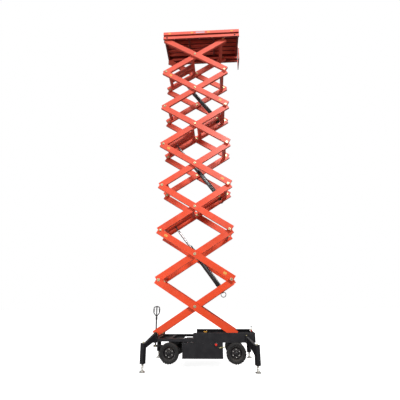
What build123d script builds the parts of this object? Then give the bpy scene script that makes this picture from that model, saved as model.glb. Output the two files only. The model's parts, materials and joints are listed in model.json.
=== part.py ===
from build123d import *
import math
import os

# Towable scissor lift with seven stages, standing on four screw jacks, at full height.
# Millimetres. +X runs along the chassis towards the roller end, +Y to the far side, +Z up.
# The origin is on the ground, in the middle between the four jack feet.

os.makedirs("parts", exist_ok=True)

# ---- driving dimensions: the scissor
STAGES = 7
ARM = 1900.0  # from end pin to end pin
RISE = math.radians(35.0)  # slope of the line through an arm's pins, at full height
BASE_X = -900.0  # the fixed pivot at the bottom
BASE_Z = 600.0
TUBE_DEPTH = 140.0
TUBE_WIDTH = 60.0
TUBE_WALL = 4.0
END_CAP = 5.0
PIN_OFFSET = 38.0  # an end pin's distance from the middle of its tube
OVERHANG = 45.0  # tube past its end pin
OUTER_FACE = 440.0  # outer face of the outer arms, from the middle plane
ARM_GAP = 4.0
PIN_R = 20.0
BOSS_R = 32.0
RUNNING = 0.05  # radial clearance of a pin in a bore that turns on it
CROSS = 70.0  # square cross tubes of the inner frames
CROSS_FROM_PIN = 105.0
CROSS_FROM_MIDDLE = 95.0
BEAM_WIDTH = 40.0
BEAM_DEPTH = 100.0
BEAM_GAP = 56.0  # half the space between the two beams that carry a cylinder
DRAIN_R = 10.0
HEAD_R = 30.0
HEAD_THICK = 10.0
COLLAR_THICK = 12.0

# ---- driving dimensions: the cylinders
BARREL_R = 45.0
BORE_R = 37.5
ROD_R = 22.0
BARREL_LENGTH = 1213.0  # from the eye's middle to the mouth
EYE_WIDTH = 100.0
LOWER_EYE = (662.0, -50.0)  # from the centre pin, along and across the line through the pins
UPPER_EYE = (-622.0, 34.0)
UPPER_EYE_R = 38.0
UPPER_PIN_R = 18.0
GLAND = 60.0
BARREL_FLOOR = 70.0
PISTON = 60.0
ROD_OVERLAP = 90.0  # rod left inside the barrel at full stroke
HOSE_R = 7.0
LOOP_R = 55.0
LOOP_DISTANCE = 100.0
LOOP_ANGLE = 166.0  # from the rod's direction
PORT_BLOCK = (36.0, 40.0, 30.0)

# ---- driving dimensions: the platform
DECK_LENGTH = 2100.0
DECK_WIDTH = 1000.0
DECK_MIDDLE = 47.5
CHANNEL_IN = 34.0  # half the inside height of a roller channel
CHANNEL_WALL = 6.0
CHANNEL_FACE = 498.0  # outer face of a channel, from the middle plane
CHANNEL_LIP = 450.0  # its open side
SPACER = (400.0, 450.0)  # inner and outer face of the tube between channel and skirt
SPACER_HEIGHT = 61.0
SPACER_WALL = 8.0
SKIRT_HEIGHT = 95.0
PLATE = 4.0
NOTCH = 20.0  # room past the fixed pivot for the ends of the seventh outer arms
NOTCH_Y = (392.0, 442.0)
RIBS = 5
RIB_SPACING = 150.0
RIB_WIDTH = 50.0
RIB_HEIGHT = 60.0
DECK_BEAM = (50.0, 24.0)  # width and height of a cross member under the ribs
DECK_BEAM_Z = 20.0  # its middle above the skirt's lower edge
DECK_BEAM_PLACES = (-1023.0, -350.0, 350.0, 1023.0)
BASE_ROLLER_R = 39.7
BASE_ROLLER_Y = 495.0
BASE_ROLLER_WIDTH = 42.0
PLATFORM_ROLLER_R = 33.7
PLATFORM_ROLLER_Y = 470.0
PLATFORM_ROLLER_WIDTH = 36.0

# ---- driving dimensions: the boarding ladder
STILES_Y = (40.0, 470.0)
STILE = (20.0, 25.0)
RUNG_HEIGHT = 24.0
RUNGS_UP = (110.0, 10.0)  # middles of the rungs above the stiles' lower ends
LADDER_PIN = (10.0, 500.0)  # ends of the hinge pin
LADDER_PIN_R = 8.0
LADDER_OUT = 16.0  # the pin's distance beyond the deck
LADDER_PIN_UP = 20.0  # above the deck's pivot line
LADDER_DROP = 330.0  # the stiles' lower ends below that line
LUG_SIZE = (30.0, 12.0, 32.0)

# ---- driving dimensions: the chassis
RAIL_FACE = 530.0  # outer face of the side rails
RAIL_LEFT = -913.0
RAIL_STEP = -143.0  # the low rail ends and the raised channel starts
RAIL_RIGHT = 1082.0
RAIL_BOTTOM = 470.0
RAIL_WALL = 8.0
RAIL_BACK = 470.0  # inner face of the low rails and posts
RAIL_LIP = 462.0  # inner edge of the flanges
FLANGE = 7.0
CHANNEL_TOP = 647.0
TRACK = (553.0, 560.0)  # under and top side of the plate that the base rollers run on
LOW_RAIL = (490.0, 541.0)  # bottom and top
POST = 60.0
POST_TOP = 654.0
CROSS_MEMBER = 60.0
DRIVE_MEMBER_Z = 500.0
END_PLATE = 12.0
EAR = (392.0, 416.0)  # faces of the ear at the scissor's fixed pivot
EAR_BOSS = (379.0, 439.0)
EAR_BOSS_R = 35.0
EAR_WIDTH = 50.0
AXLE_BEAM = 60.0
STEER_BEAM_LENGTH = 860.0
DRIVE_HANGER = (465.0, 490.0)
DRIVE_HANGER_WIDTH = 80.0
STEER_HANGER = (400.0, 420.0)
STEER_HANGER_WIDTH = 70.0
HANGER_DROP = 14.0  # a hanger's foot below the middle of its axle beam
STUB_R = 20.0
STUB_END = 62.0  # a stub axle's end beyond the middle of its wheel
SHOULDER_R = 32.0
DRIVE_SHOULDER = (500.0, 536.0)
STEER_EYE_R = 26.0
STEER_EYE_HEIGHT = 60.0
KINGPIN_R = 12.0
TOW_PIN_R = 15.0
TOW_PIN = (315.0, 385.0)
TOW_CAP = (25.0, 8.0, 378.0)  # radius, thickness and middle height
VALVE_BLOCK = (1045.0, -140.0, 600.0)
VALVE_BLOCK_SIZE = (50.0, 80.0, 80.0)
VALVE_CHEEK = (24.0, 8.0, 40.0)
VALVE_CHEEK_Y = 18.0
LEVER_Z = 662.0
LEVER_R = 6.0
LEVER_HUB = (14.0, 26.0)
KNOB_R = 13.0
KNOB_Z = 738.0

# ---- driving dimensions: the power box and what it holds
BOX_X = (-363.0, 442.0)
BOX_BOTTOM = 180.0
BOX_WALL = 3.0
BOX_FACE = 526.0
BUTTON_X = 305.0
BUTTON_Z = 435.0
BUTTON_STEM_R = 11.0
BUTTON_HEAD = (24.0, 18.0)  # radius and thickness
BUTTON_COLLAR_R = 26.0
UNIT_BASE = (720.0, 520.0, 10.0)
# Tank, pump block and manifold: x, y and height of the middle above the floor, then their sizes.
UNIT_BLOCKS = (
    ((-190.0, 0.0, 115.0), (260.0, 420.0, 220.0)),
    ((80.0, -90.0, 20.0), (180.0, 120.0, 30.0)),
    ((250.0, -90.0, 75.0), (100.0, 130.0, 140.0)),
    ((150.0, 140.0, 65.0), (300.0, 180.0, 120.0)),
)
MOTOR = (80.0, -90.0, 95.0)
MOTOR_R = 75.0
MOTOR_LENGTH = 260.0

# ---- driving dimensions: wheels, steering and tow bar
WHEEL_R = 195.0
WHEEL_WIDTH = 100.0
HUB_R = 45.0
HUB_LENGTH = 70.0
RIM_R = 128.0
RIM_WALL = 10.0
HAND_HOLES = (92.0, 12.0, 6)  # circle, radius and count
WHEEL_Y = 590.0
AXLE_Z = 290.0
STEER_X = -610.0
DRIVE_X = 692.0
KINGPIN_Y = 480.0
STEER_ARM = 110.0
ARM_PLATE = 14.0
TIE_Z = 228.0
TIE_THICK = 16.0
TIE_WIDTH = 60.0
TIE_PIN_R = 8.0
TIE_SLOT = (36.0, 20.0)
TILLER_X = -993.0
TILLER_Z = 350.0
TILLER_TOP = 1157.0
BAR_WIDTH = 60.0
BAR_DEPTH = 36.0
BAR_PAST_PIN = 30.0
FORK = 20.0  # half the inside width of the tow bar's fork
FORK_PIN_R = 10.0
SHAFT_R = 15.0
HEAD_TURN = math.radians(55)
HANDLE_R = 10.0
HEAD_BOTTOM = 940.0
GRIP_WIDTH = 85.0  # from the shaft to the middle of a grip

# ---- driving dimensions: the swinging legs and their screw jacks
HINGE_X = 906.0
HINGE_Y = 562.0
LEG_REACH = 335.0
LEG_ANGLE = math.radians(28.3)  # a leg's turn away from straight out sideways
LEG_TUBE = 80.0
SCREW_R = 22.0
FOOT_R = 60.0
FOOT_HEIGHT = 25.0
FOOT_COLLAR = (30.0, 12.0)
LEG_WALL = 5.0
LEG_THICK = 50.0
LEG_BARREL_R = 26.0
LEG_PIN_R = 12.0
LUG_THICK = 12.0
LUG_WIDTH = 52.0
LUG_GAP = 1.0
LEFT_BARREL = (484.0, 640.0)
RIGHT_BARREL = (484.0, 586.0)
LEFT_TUBE = (145.0, 500.0)
RIGHT_TUBE = (125.0, 470.0)
LEFT_PROFILE = [(25, 638), (25, 505), (298, 404), (298, 494)]
RIGHT_PROFILE = [(25, 585), (25, 490), (60, 484), (298, 270), (298, 458)]

# ---- what follows from them
RUN = ARM * math.cos(RISE)
RISE_STEP = ARM * math.sin(RISE)
CENTRE_X = BASE_X + RUN / 2
TOP_Z = BASE_Z + STAGES * RISE_STEP
OFFSET_ANGLE = math.asin(PIN_OFFSET / (ARM / 2))
SLOPE = RISE - OFFSET_ANGLE
PIN_REACH = math.sqrt((ARM / 2) ** 2 - PIN_OFFSET**2)
TUBE_LENGTH = 2 * (PIN_REACH + OVERHANG)
OUTER_Y = OUTER_FACE - TUBE_WIDTH / 2
INNER_FACE = OUTER_FACE - TUBE_WIDTH - ARM_GAP
INNER_Y = INNER_FACE - TUBE_WIDTH / 2
INNER_BACK = INNER_FACE - TUBE_WIDTH
CROSS_X = ARM / 2 - CROSS_FROM_PIN
DECK_LEFT = DECK_MIDDLE - DECK_LENGTH / 2
DECK_RIGHT = DECK_MIDDLE + DECK_LENGTH / 2


def centre_z(stage):
    return BASE_Z + (stage - 0.5) * RISE_STEP


def across(x, y, z):
    """Place at which a cylinder lies along Y."""
    return Plane(origin=(x, y, z), x_dir=(1, 0, 0), z_dir=(0, -1, 0)).location


def arm_plane(stage, lean):
    """Plane in the middle of a stage, x along the tube. Lean 1 is an inner frame, -1 an outer arm."""
    along = (math.cos(SLOPE), 0, lean * math.sin(SLOPE))
    return Plane(origin=(CENTRE_X, 0, centre_z(stage)), x_dir=along, z_dir=(0, -1, 0))


def eye_point(stage, eye):
    """World x and z of a cylinder's eye, given along and across the pin line of a stage's inner frame."""
    along, off = eye
    x = CENTRE_X + along * math.cos(RISE) - off * math.sin(RISE)
    z = centre_z(stage) + along * math.sin(RISE) + off * math.cos(RISE)
    return x, z


def eye_in_tube(eye):
    """The same eye in the arm plane, which is turned from the pin line by the pins' offset."""
    along, off = eye
    x = along * math.cos(OFFSET_ANGLE) - off * math.sin(OFFSET_ANGLE)
    y = along * math.sin(OFFSET_ANGLE) + off * math.cos(OFFSET_ANGLE)
    return x, y


def cylinder_plane(stage):
    """Plane through the lower eye of the cylinder that spans the stage above, x along its rod."""
    x0, z0 = eye_point(stage, LOWER_EYE)
    x1, z1 = eye_point(stage + 2, UPPER_EYE)
    return Plane(origin=(x0, 0, z0), x_dir=(x1 - x0, 0, z1 - z0), z_dir=(0, -1, 0))


def cylinder_length():
    x0, z0 = eye_point(1, LOWER_EYE)
    x1, z1 = eye_point(3, UPPER_EYE)
    return math.hypot(x1 - x0, z1 - z0)


# ---- the scissor: inner frames
LOWER_EYE_AT = eye_in_tube(LOWER_EYE)
UPPER_EYE_AT = eye_in_tube(UPPER_EYE)
inner_pins = [(-PIN_REACH, -PIN_OFFSET), (0, 0), (PIN_REACH, PIN_OFFSET)]
outer_pins = [(-PIN_REACH, PIN_OFFSET), (0, 0), (PIN_REACH, -PIN_OFFSET)]

for stage in range(1, STAGES + 1):
    # A frame with a lower eye has beams in its right half, one with an upper eye in its left half.
    halves = []
    if stage in (3, 5, 7):
        halves.append(-1)
    if stage in (1, 3, 5):
        halves.append(1)
    with BuildPart(arm_plane(stage, 1)) as inner_frame:
        with Locations((0, 0, INNER_Y), (0, 0, -INNER_Y)):
            Box(TUBE_LENGTH, TUBE_DEPTH, TUBE_WIDTH)
        with Locations((CROSS_X, 0, 0), (-CROSS_X, 0, 0)):
            Box(CROSS, CROSS, 2 * INNER_BACK)
        for half in halves:
            near = CROSS_FROM_MIDDLE + CROSS / 2
            far = CROSS_X - CROSS / 2
            with Locations((half * CROSS_FROM_MIDDLE, 0, 0)):
                Box(CROSS, CROSS, 2 * INNER_BACK)
            beam_y = BEAM_GAP + BEAM_WIDTH / 2
            with Locations((half * (near + far) / 2, 0, beam_y), (half * (near + far) / 2, 0, -beam_y)):
                Box(far - near, BEAM_DEPTH, BEAM_WIDTH)
                Box(far - near, BEAM_DEPTH - 2 * TUBE_WALL, BEAM_WIDTH - 2 * TUBE_WALL, mode=Mode.SUBTRACT)
        # Hollow tubes: the drain holes in the end caps and walls join the hollows.
        with Locations((0, 0, INNER_Y), (0, 0, -INNER_Y)):
            inside = (TUBE_DEPTH - 2 * TUBE_WALL, TUBE_WIDTH - 2 * TUBE_WALL)
            Box(TUBE_LENGTH - 2 * END_CAP, *inside, mode=Mode.SUBTRACT)
            Cylinder(DRAIN_R, TUBE_LENGTH + 2, rotation=(0, 90, 0), mode=Mode.SUBTRACT)
        cross_places = [(CROSS_X, 0, 0), (-CROSS_X, 0, 0)]
        cross_places += [(half * CROSS_FROM_MIDDLE, 0, 0) for half in halves]
        with Locations(*cross_places):
            Box(CROSS - 2 * TUBE_WALL, CROSS - 2 * TUBE_WALL, 2 * INNER_BACK, mode=Mode.SUBTRACT)
            Cylinder(DRAIN_R, 2 * INNER_BACK + 4 * TUBE_WALL, mode=Mode.SUBTRACT)
        for half in halves:
            beam_y = BEAM_GAP + BEAM_WIDTH / 2
            with Locations((half * (near + far) / 2, 0, beam_y), (half * (near + far) / 2, 0, -beam_y)):
                Cylinder(DRAIN_R, far - near + 4 * TUBE_WALL, rotation=(0, 90, 0), mode=Mode.SUBTRACT)
        # Bosses through the side tubes, bored for the pins.
        for x, y in inner_pins:
            with Locations((x, y, INNER_Y), (x, y, -INNER_Y)):
                Cylinder(BOSS_R - 3, TUBE_WIDTH)
                Cylinder(PIN_R, TUBE_WIDTH, mode=Mode.SUBTRACT)
        if 1 in halves:
            x, y = LOWER_EYE_AT
            beam_y = BEAM_GAP + BEAM_WIDTH / 2
            with Locations((x, y, beam_y), (x, y, -beam_y)):
                Cylinder(BOSS_R - 6, BEAM_WIDTH)
                Cylinder(PIN_R, BEAM_WIDTH, mode=Mode.SUBTRACT)
    inner_frame.part.label = f"inner_frame_{stage}"
    export_step(inner_frame.part, f"parts/inner_frame_{stage}.step")

# ---- the scissor: outer arms, one tube on each side

for stage in range(1, STAGES + 1):
    with BuildPart(arm_plane(stage, -1)) as outer_arms:
        with Locations((0, 0, OUTER_Y), (0, 0, -OUTER_Y)):
            Box(TUBE_LENGTH, TUBE_DEPTH, TUBE_WIDTH)
            inside = (TUBE_DEPTH - 2 * TUBE_WALL, TUBE_WIDTH - 2 * TUBE_WALL)
            Box(TUBE_LENGTH - 2 * END_CAP, *inside, mode=Mode.SUBTRACT)
            Cylinder(DRAIN_R, TUBE_LENGTH + 2, rotation=(0, 90, 0), mode=Mode.SUBTRACT)
        for x, y in outer_pins:
            with Locations((x, y, OUTER_Y), (x, y, -OUTER_Y)):
                Cylinder(BOSS_R - 3, TUBE_WIDTH)
                if not (stage == 1 and x > 0):
                    Cylinder(PIN_R + RUNNING, TUBE_WIDTH, mode=Mode.SUBTRACT)
        if stage == 1:
            # The lowest arms carry the stub axles of the base rollers.
            axle_end = BASE_ROLLER_Y + BASE_ROLLER_WIDTH / 2 + 2
            axle_length = axle_end - OUTER_FACE
            x, y = outer_pins[2]
            for side in (1, -1):
                with Locations((x, y, side * (OUTER_FACE + axle_length / 2))):
                    Cylinder(PIN_R, axle_length)
                with Locations((x, y, side * (OUTER_FACE + 14))):
                    Cylinder(PIN_R + 8, 28)
    outer_arms.part.label = f"outer_arms_{stage}"
    export_step(outer_arms.part, f"parts/outer_arms_{stage}.step")

# ---- the pivot pins, each with a round head outside and a collar inside
for stage in range(1, STAGES + 1):
    with BuildPart(arm_plane(stage, 1)) as pins:
        for x, y in inner_pins:
            carries_roller = stage == STAGES and x > 0
            end = OUTER_FACE + 1 + HEAD_THICK
            if carries_roller:
                end = PLATFORM_ROLLER_Y + PLATFORM_ROLLER_WIDTH / 2 + 2
            start = INNER_BACK - COLLAR_THICK
            for side in (1, -1):
                with Locations((x, y, side * (start + end) / 2)):
                    Cylinder(PIN_R, end - start)
                with Locations((x, y, side * (INNER_BACK - COLLAR_THICK / 2))):
                    Cylinder(HEAD_R, COLLAR_THICK)
                if carries_roller:
                    spacer = PLATFORM_ROLLER_Y - PLATFORM_ROLLER_WIDTH / 2 - 2 - INNER_FACE
                    with Locations((x, y, side * (INNER_FACE + spacer / 2))):
                        Cylinder(PIN_R + 8, spacer)
                else:
                    with Locations((x, y, side * (end - HEAD_THICK / 2))):
                        Cylinder(HEAD_R, HEAD_THICK)
        if stage in (1, 3, 5):
            # The cylinder's lower pin goes right through the two beams.
            pin_length = 2 * (BEAM_GAP + BEAM_WIDTH + HEAD_THICK)
            with Locations((*LOWER_EYE_AT, 0)):
                Cylinder(PIN_R, pin_length)
            for side in (1, -1):
                with Locations((*LOWER_EYE_AT, side * (pin_length - HEAD_THICK) / 2)):
                    Cylinder(HEAD_R, HEAD_THICK)
    pins.part.label = f"pivot_pins_{stage}"
    export_step(pins.part, f"parts/pivot_pins_{stage}.step")


# ---- the rollers, one each side
def make_rollers(x, z, roller_y, radius, width):
    with BuildPart(Plane(origin=(x, 0, z), x_dir=(1, 0, 0), z_dir=(0, -1, 0))) as rollers:
        with Locations((0, 0, roller_y), (0, 0, -roller_y)):
            Cylinder(radius, width)
            Cylinder(PIN_R + RUNNING, width, mode=Mode.SUBTRACT)
        outer_edges = rollers.edges().filter_by(GeomType.CIRCLE).group_by(SortBy.RADIUS)[-1]
        chamfer(outer_edges, 3)
    return rollers


base_rollers = make_rollers(BASE_X + RUN, BASE_Z, BASE_ROLLER_Y, BASE_ROLLER_R, BASE_ROLLER_WIDTH)
base_rollers.part.label = "base_rollers"
export_step(base_rollers.part, "parts/base_rollers.step")

platform_rollers = make_rollers(
    BASE_X + RUN, TOP_Z, PLATFORM_ROLLER_Y, PLATFORM_ROLLER_R, PLATFORM_ROLLER_WIDTH
)
platform_rollers.part.label = "platform_rollers"
export_step(platform_rollers.part, "parts/platform_rollers.step")

# ---- the hydraulic cylinders
FULL_LENGTH = cylinder_length()

for number, stage in enumerate((1, 3, 5), start=1):
    plane = cylinder_plane(stage)
    with BuildPart(plane) as barrel:
        Cylinder(BARREL_R + 3, EYE_WIDTH)
        with Locations((BARREL_LENGTH / 2, 0, 0)):
            Cylinder(BARREL_R, BARREL_LENGTH, rotation=(0, 90, 0))
        with Locations((BARREL_LENGTH - GLAND / 2, 0, 0)):
            Cylinder(BARREL_R + 4, GLAND, rotation=(0, 90, 0))
        bored = BARREL_LENGTH - GLAND - BARREL_FLOOR
        with Locations((BARREL_FLOOR + bored / 2, 0, 0)):
            Cylinder(BORE_R, bored, rotation=(0, 90, 0), mode=Mode.SUBTRACT)
        with Locations((BARREL_LENGTH - GLAND / 2, 0, 0)):
            Cylinder(ROD_R + RUNNING, GLAND + 2, rotation=(0, 90, 0), mode=Mode.SUBTRACT)
        # Port block that holds the hose, behind the eye.
        with Locations(Location((0, 0, 0), (0, 0, LOOP_ANGLE))):
            with Locations((LOOP_DISTANCE - LOOP_R + 5, 0, 0)):
                Box(*PORT_BLOCK)
        Cylinder(PIN_R + RUNNING, EYE_WIDTH + 2, mode=Mode.SUBTRACT)
        with Locations(Location((0, 0, 0), (0, 0, LOOP_ANGLE))):
            with Locations((LOOP_DISTANCE, 0, 0)):
                Torus(LOOP_R, HOSE_R, mode=Mode.SUBTRACT)
    barrel.part.label = f"cylinder_barrel_{number}"
    export_step(barrel.part, f"parts/cylinder_barrel_{number}.step")

    rod_start = BARREL_LENGTH - ROD_OVERLAP
    with BuildPart(plane) as rod:
        with Locations(((rod_start + FULL_LENGTH) / 2, 0, 0)):
            Cylinder(ROD_R, FULL_LENGTH - rod_start, rotation=(0, 90, 0))
        with Locations((rod_start - PISTON / 2, 0, 0)):
            Cylinder(BORE_R - RUNNING, PISTON, rotation=(0, 90, 0))
        with Locations((FULL_LENGTH, 0, 0)):
            Cylinder(UPPER_EYE_R, EYE_WIDTH)
            Cylinder(UPPER_PIN_R, 2 * BEAM_GAP - 4)
    rod.part.label = f"cylinder_rod_{number}"
    export_step(rod.part, f"parts/cylinder_rod_{number}.step")

    # The hose makes one loop from the port and back.
    with BuildPart(plane) as hose:
        with Locations(Location((0, 0, 0), (0, 0, LOOP_ANGLE))):
            with Locations((LOOP_DISTANCE, 0, 0)):
                Torus(LOOP_R, HOSE_R)
    hose.part.label = f"hose_loop_{number}"
    export_step(hose.part, f"parts/hose_loop_{number}.step")

# ---- the platform: roller channels, spacers, skirt and deck in one welded frame
LADDER_X = DECK_RIGHT + LADDER_OUT
LADDER_PIN_Z = TOP_Z + LADDER_PIN_UP
LADDER_BOTTOM = TOP_Z - LADDER_DROP
channel_top = TOP_Z + CHANNEL_IN + CHANNEL_WALL
skirt_bottom = channel_top + SPACER_HEIGHT
deck_top = skirt_bottom + SKIRT_HEIGHT

with BuildPart() as platform_frame:
    # Skirt and deck: an open tray upside down.
    with Locations((DECK_MIDDLE, 0, (skirt_bottom + deck_top) / 2)):
        Box(DECK_LENGTH, DECK_WIDTH, SKIRT_HEIGHT)
    with Locations((DECK_MIDDLE, 0, (skirt_bottom + deck_top) / 2 - PLATE)):
        Box(DECK_LENGTH - 2 * PLATE, DECK_WIDTH - 2 * PLATE, SKIRT_HEIGHT, mode=Mode.SUBTRACT)
    for side in (-1, 1):
        # Channel that opens inwards for the roller, with a spacer tube between it and the skirt.
        with BuildSketch(Plane.YZ.offset(DECK_LEFT)):
            with Locations((side * (CHANNEL_FACE + CHANNEL_LIP) / 2, TOP_Z)):
                Rectangle(CHANNEL_FACE - CHANNEL_LIP, 2 * (CHANNEL_IN + CHANNEL_WALL))
            with Locations((side * (CHANNEL_FACE + CHANNEL_LIP - 2 * CHANNEL_WALL) / 2, TOP_Z)):
                Rectangle(CHANNEL_FACE - CHANNEL_LIP, 2 * CHANNEL_IN, mode=Mode.SUBTRACT)
            with Locations((side * (SPACER[0] + SPACER[1]) / 2, channel_top + SPACER_HEIGHT / 2)):
                Rectangle(SPACER[1] - SPACER[0], SPACER_HEIGHT)
                inside = (SPACER[1] - SPACER[0] - 2 * SPACER_WALL, SPACER_HEIGHT - 2 * PLATE)
                Rectangle(*inside, mode=Mode.SUBTRACT)
            with Locations((side * (SPACER[0] + CHANNEL_FACE) / 2, channel_top - CHANNEL_WALL / 2)):
                Rectangle(CHANNEL_FACE - SPACER[0], CHANNEL_WALL)
            # The skirt's flange, turned in over the spacer.
            with Locations((side * (SPACER[0] + DECK_WIDTH / 2) / 2, skirt_bottom + PLATE / 2)):
                Rectangle(DECK_WIDTH / 2 - SPACER[0], PLATE)
        extrude(amount=DECK_LENGTH)
        # Room for the ends of the seventh outer arms.
        notch_height = skirt_bottom - TOP_Z - CHANNEL_IN
        with Locations((DECK_LEFT, side * sum(NOTCH_Y) / 2, skirt_bottom - notch_height / 2)):
            Box(2 * (BASE_X + NOTCH - DECK_LEFT), NOTCH_Y[1] - NOTCH_Y[0], notch_height, mode=Mode.SUBTRACT)
    # Ribs and cross members under the deck.
    for row in range(RIBS):
        rib_y = (row - (RIBS - 1) / 2) * RIB_SPACING
        with Locations((DECK_MIDDLE, rib_y, deck_top - PLATE - RIB_HEIGHT / 2)):
            Box(DECK_LENGTH - PLATE, RIB_WIDTH, RIB_HEIGHT)
            Box(DECK_LENGTH, RIB_WIDTH - 2 * PLATE, RIB_HEIGHT, mode=Mode.SUBTRACT)
    for x in DECK_BEAM_PLACES:
        with Locations((DECK_MIDDLE + x, 0, skirt_bottom + DECK_BEAM_Z)):
            Box(DECK_BEAM[0], DECK_WIDTH - PLATE, DECK_BEAM[1])
    # Stub pins that carry the tops of the seventh outer arms.
    for side in (-1, 1):
        stub = CHANNEL_FACE - CHANNEL_WALL - (OUTER_FACE - TUBE_WIDTH - 4)
        stub_y = side * (CHANNEL_FACE - CHANNEL_WALL - stub / 2)
        with Locations(across(BASE_X, stub_y, TOP_Z)):
            Cylinder(PIN_R, stub)
        shoulder = CHANNEL_FACE - CHANNEL_WALL - OUTER_FACE - 2
        shoulder_y = side * (CHANNEL_FACE - CHANNEL_WALL - shoulder / 2)
        with Locations(across(BASE_X, shoulder_y, TOP_Z)):
            Cylinder(HEAD_R, shoulder)
        cap_y = side * (OUTER_FACE - TUBE_WIDTH - 4)
        with Locations(across(BASE_X, cap_y, TOP_Z)):
            Cylinder(HEAD_R, 6)
    # End plate and hinge lugs for the boarding ladder.
    with Locations((DECK_RIGHT - 4, (LADDER_PIN[0] + CHANNEL_LIP) / 2, channel_top - 20)):
        Box(8, CHANNEL_LIP - LADDER_PIN[0] + 12, 40)
    with Locations((DECK_RIGHT - 4, LADDER_PIN[0] + 8, (channel_top + skirt_bottom) / 2 + 10)):
        Box(8, 40, skirt_bottom - channel_top + 24)
    for y in (LADDER_PIN[0] + 6, LADDER_PIN[1] - 6):
        with Locations((LADDER_X - 5, y, LADDER_PIN_Z)):
            Box(*LUG_SIZE)
        with Locations(across(LADDER_X, y, LADDER_PIN_Z)):
            Cylinder(LADDER_PIN_R + RUNNING, LUG_SIZE[1] + 2, mode=Mode.SUBTRACT)
platform_frame.part.label = "platform_frame"
export_step(platform_frame.part, "parts/platform_frame.step")

# ---- the boarding ladder, folded down at the roller end
with BuildPart() as boarding_ladder:
    for y in STILES_Y:
        with Locations((LADDER_X, y, (LADDER_PIN_Z + LADDER_BOTTOM) / 2)):
            Box(*STILE, LADDER_PIN_Z + 14 - LADDER_BOTTOM)
    for up in RUNGS_UP:
        with Locations((LADDER_X, sum(STILES_Y) / 2, LADDER_BOTTOM + up)):
            Box(STILE[0], STILES_Y[1] - STILES_Y[0], RUNG_HEIGHT)
    with Locations(across(LADDER_X, sum(LADDER_PIN) / 2, LADDER_PIN_Z)):
        Cylinder(LADDER_PIN_R, LADDER_PIN[1] - LADDER_PIN[0])
boarding_ladder.part.label = "boarding_ladder"
export_step(boarding_ladder.part, "parts/boarding_ladder.step")

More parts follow.
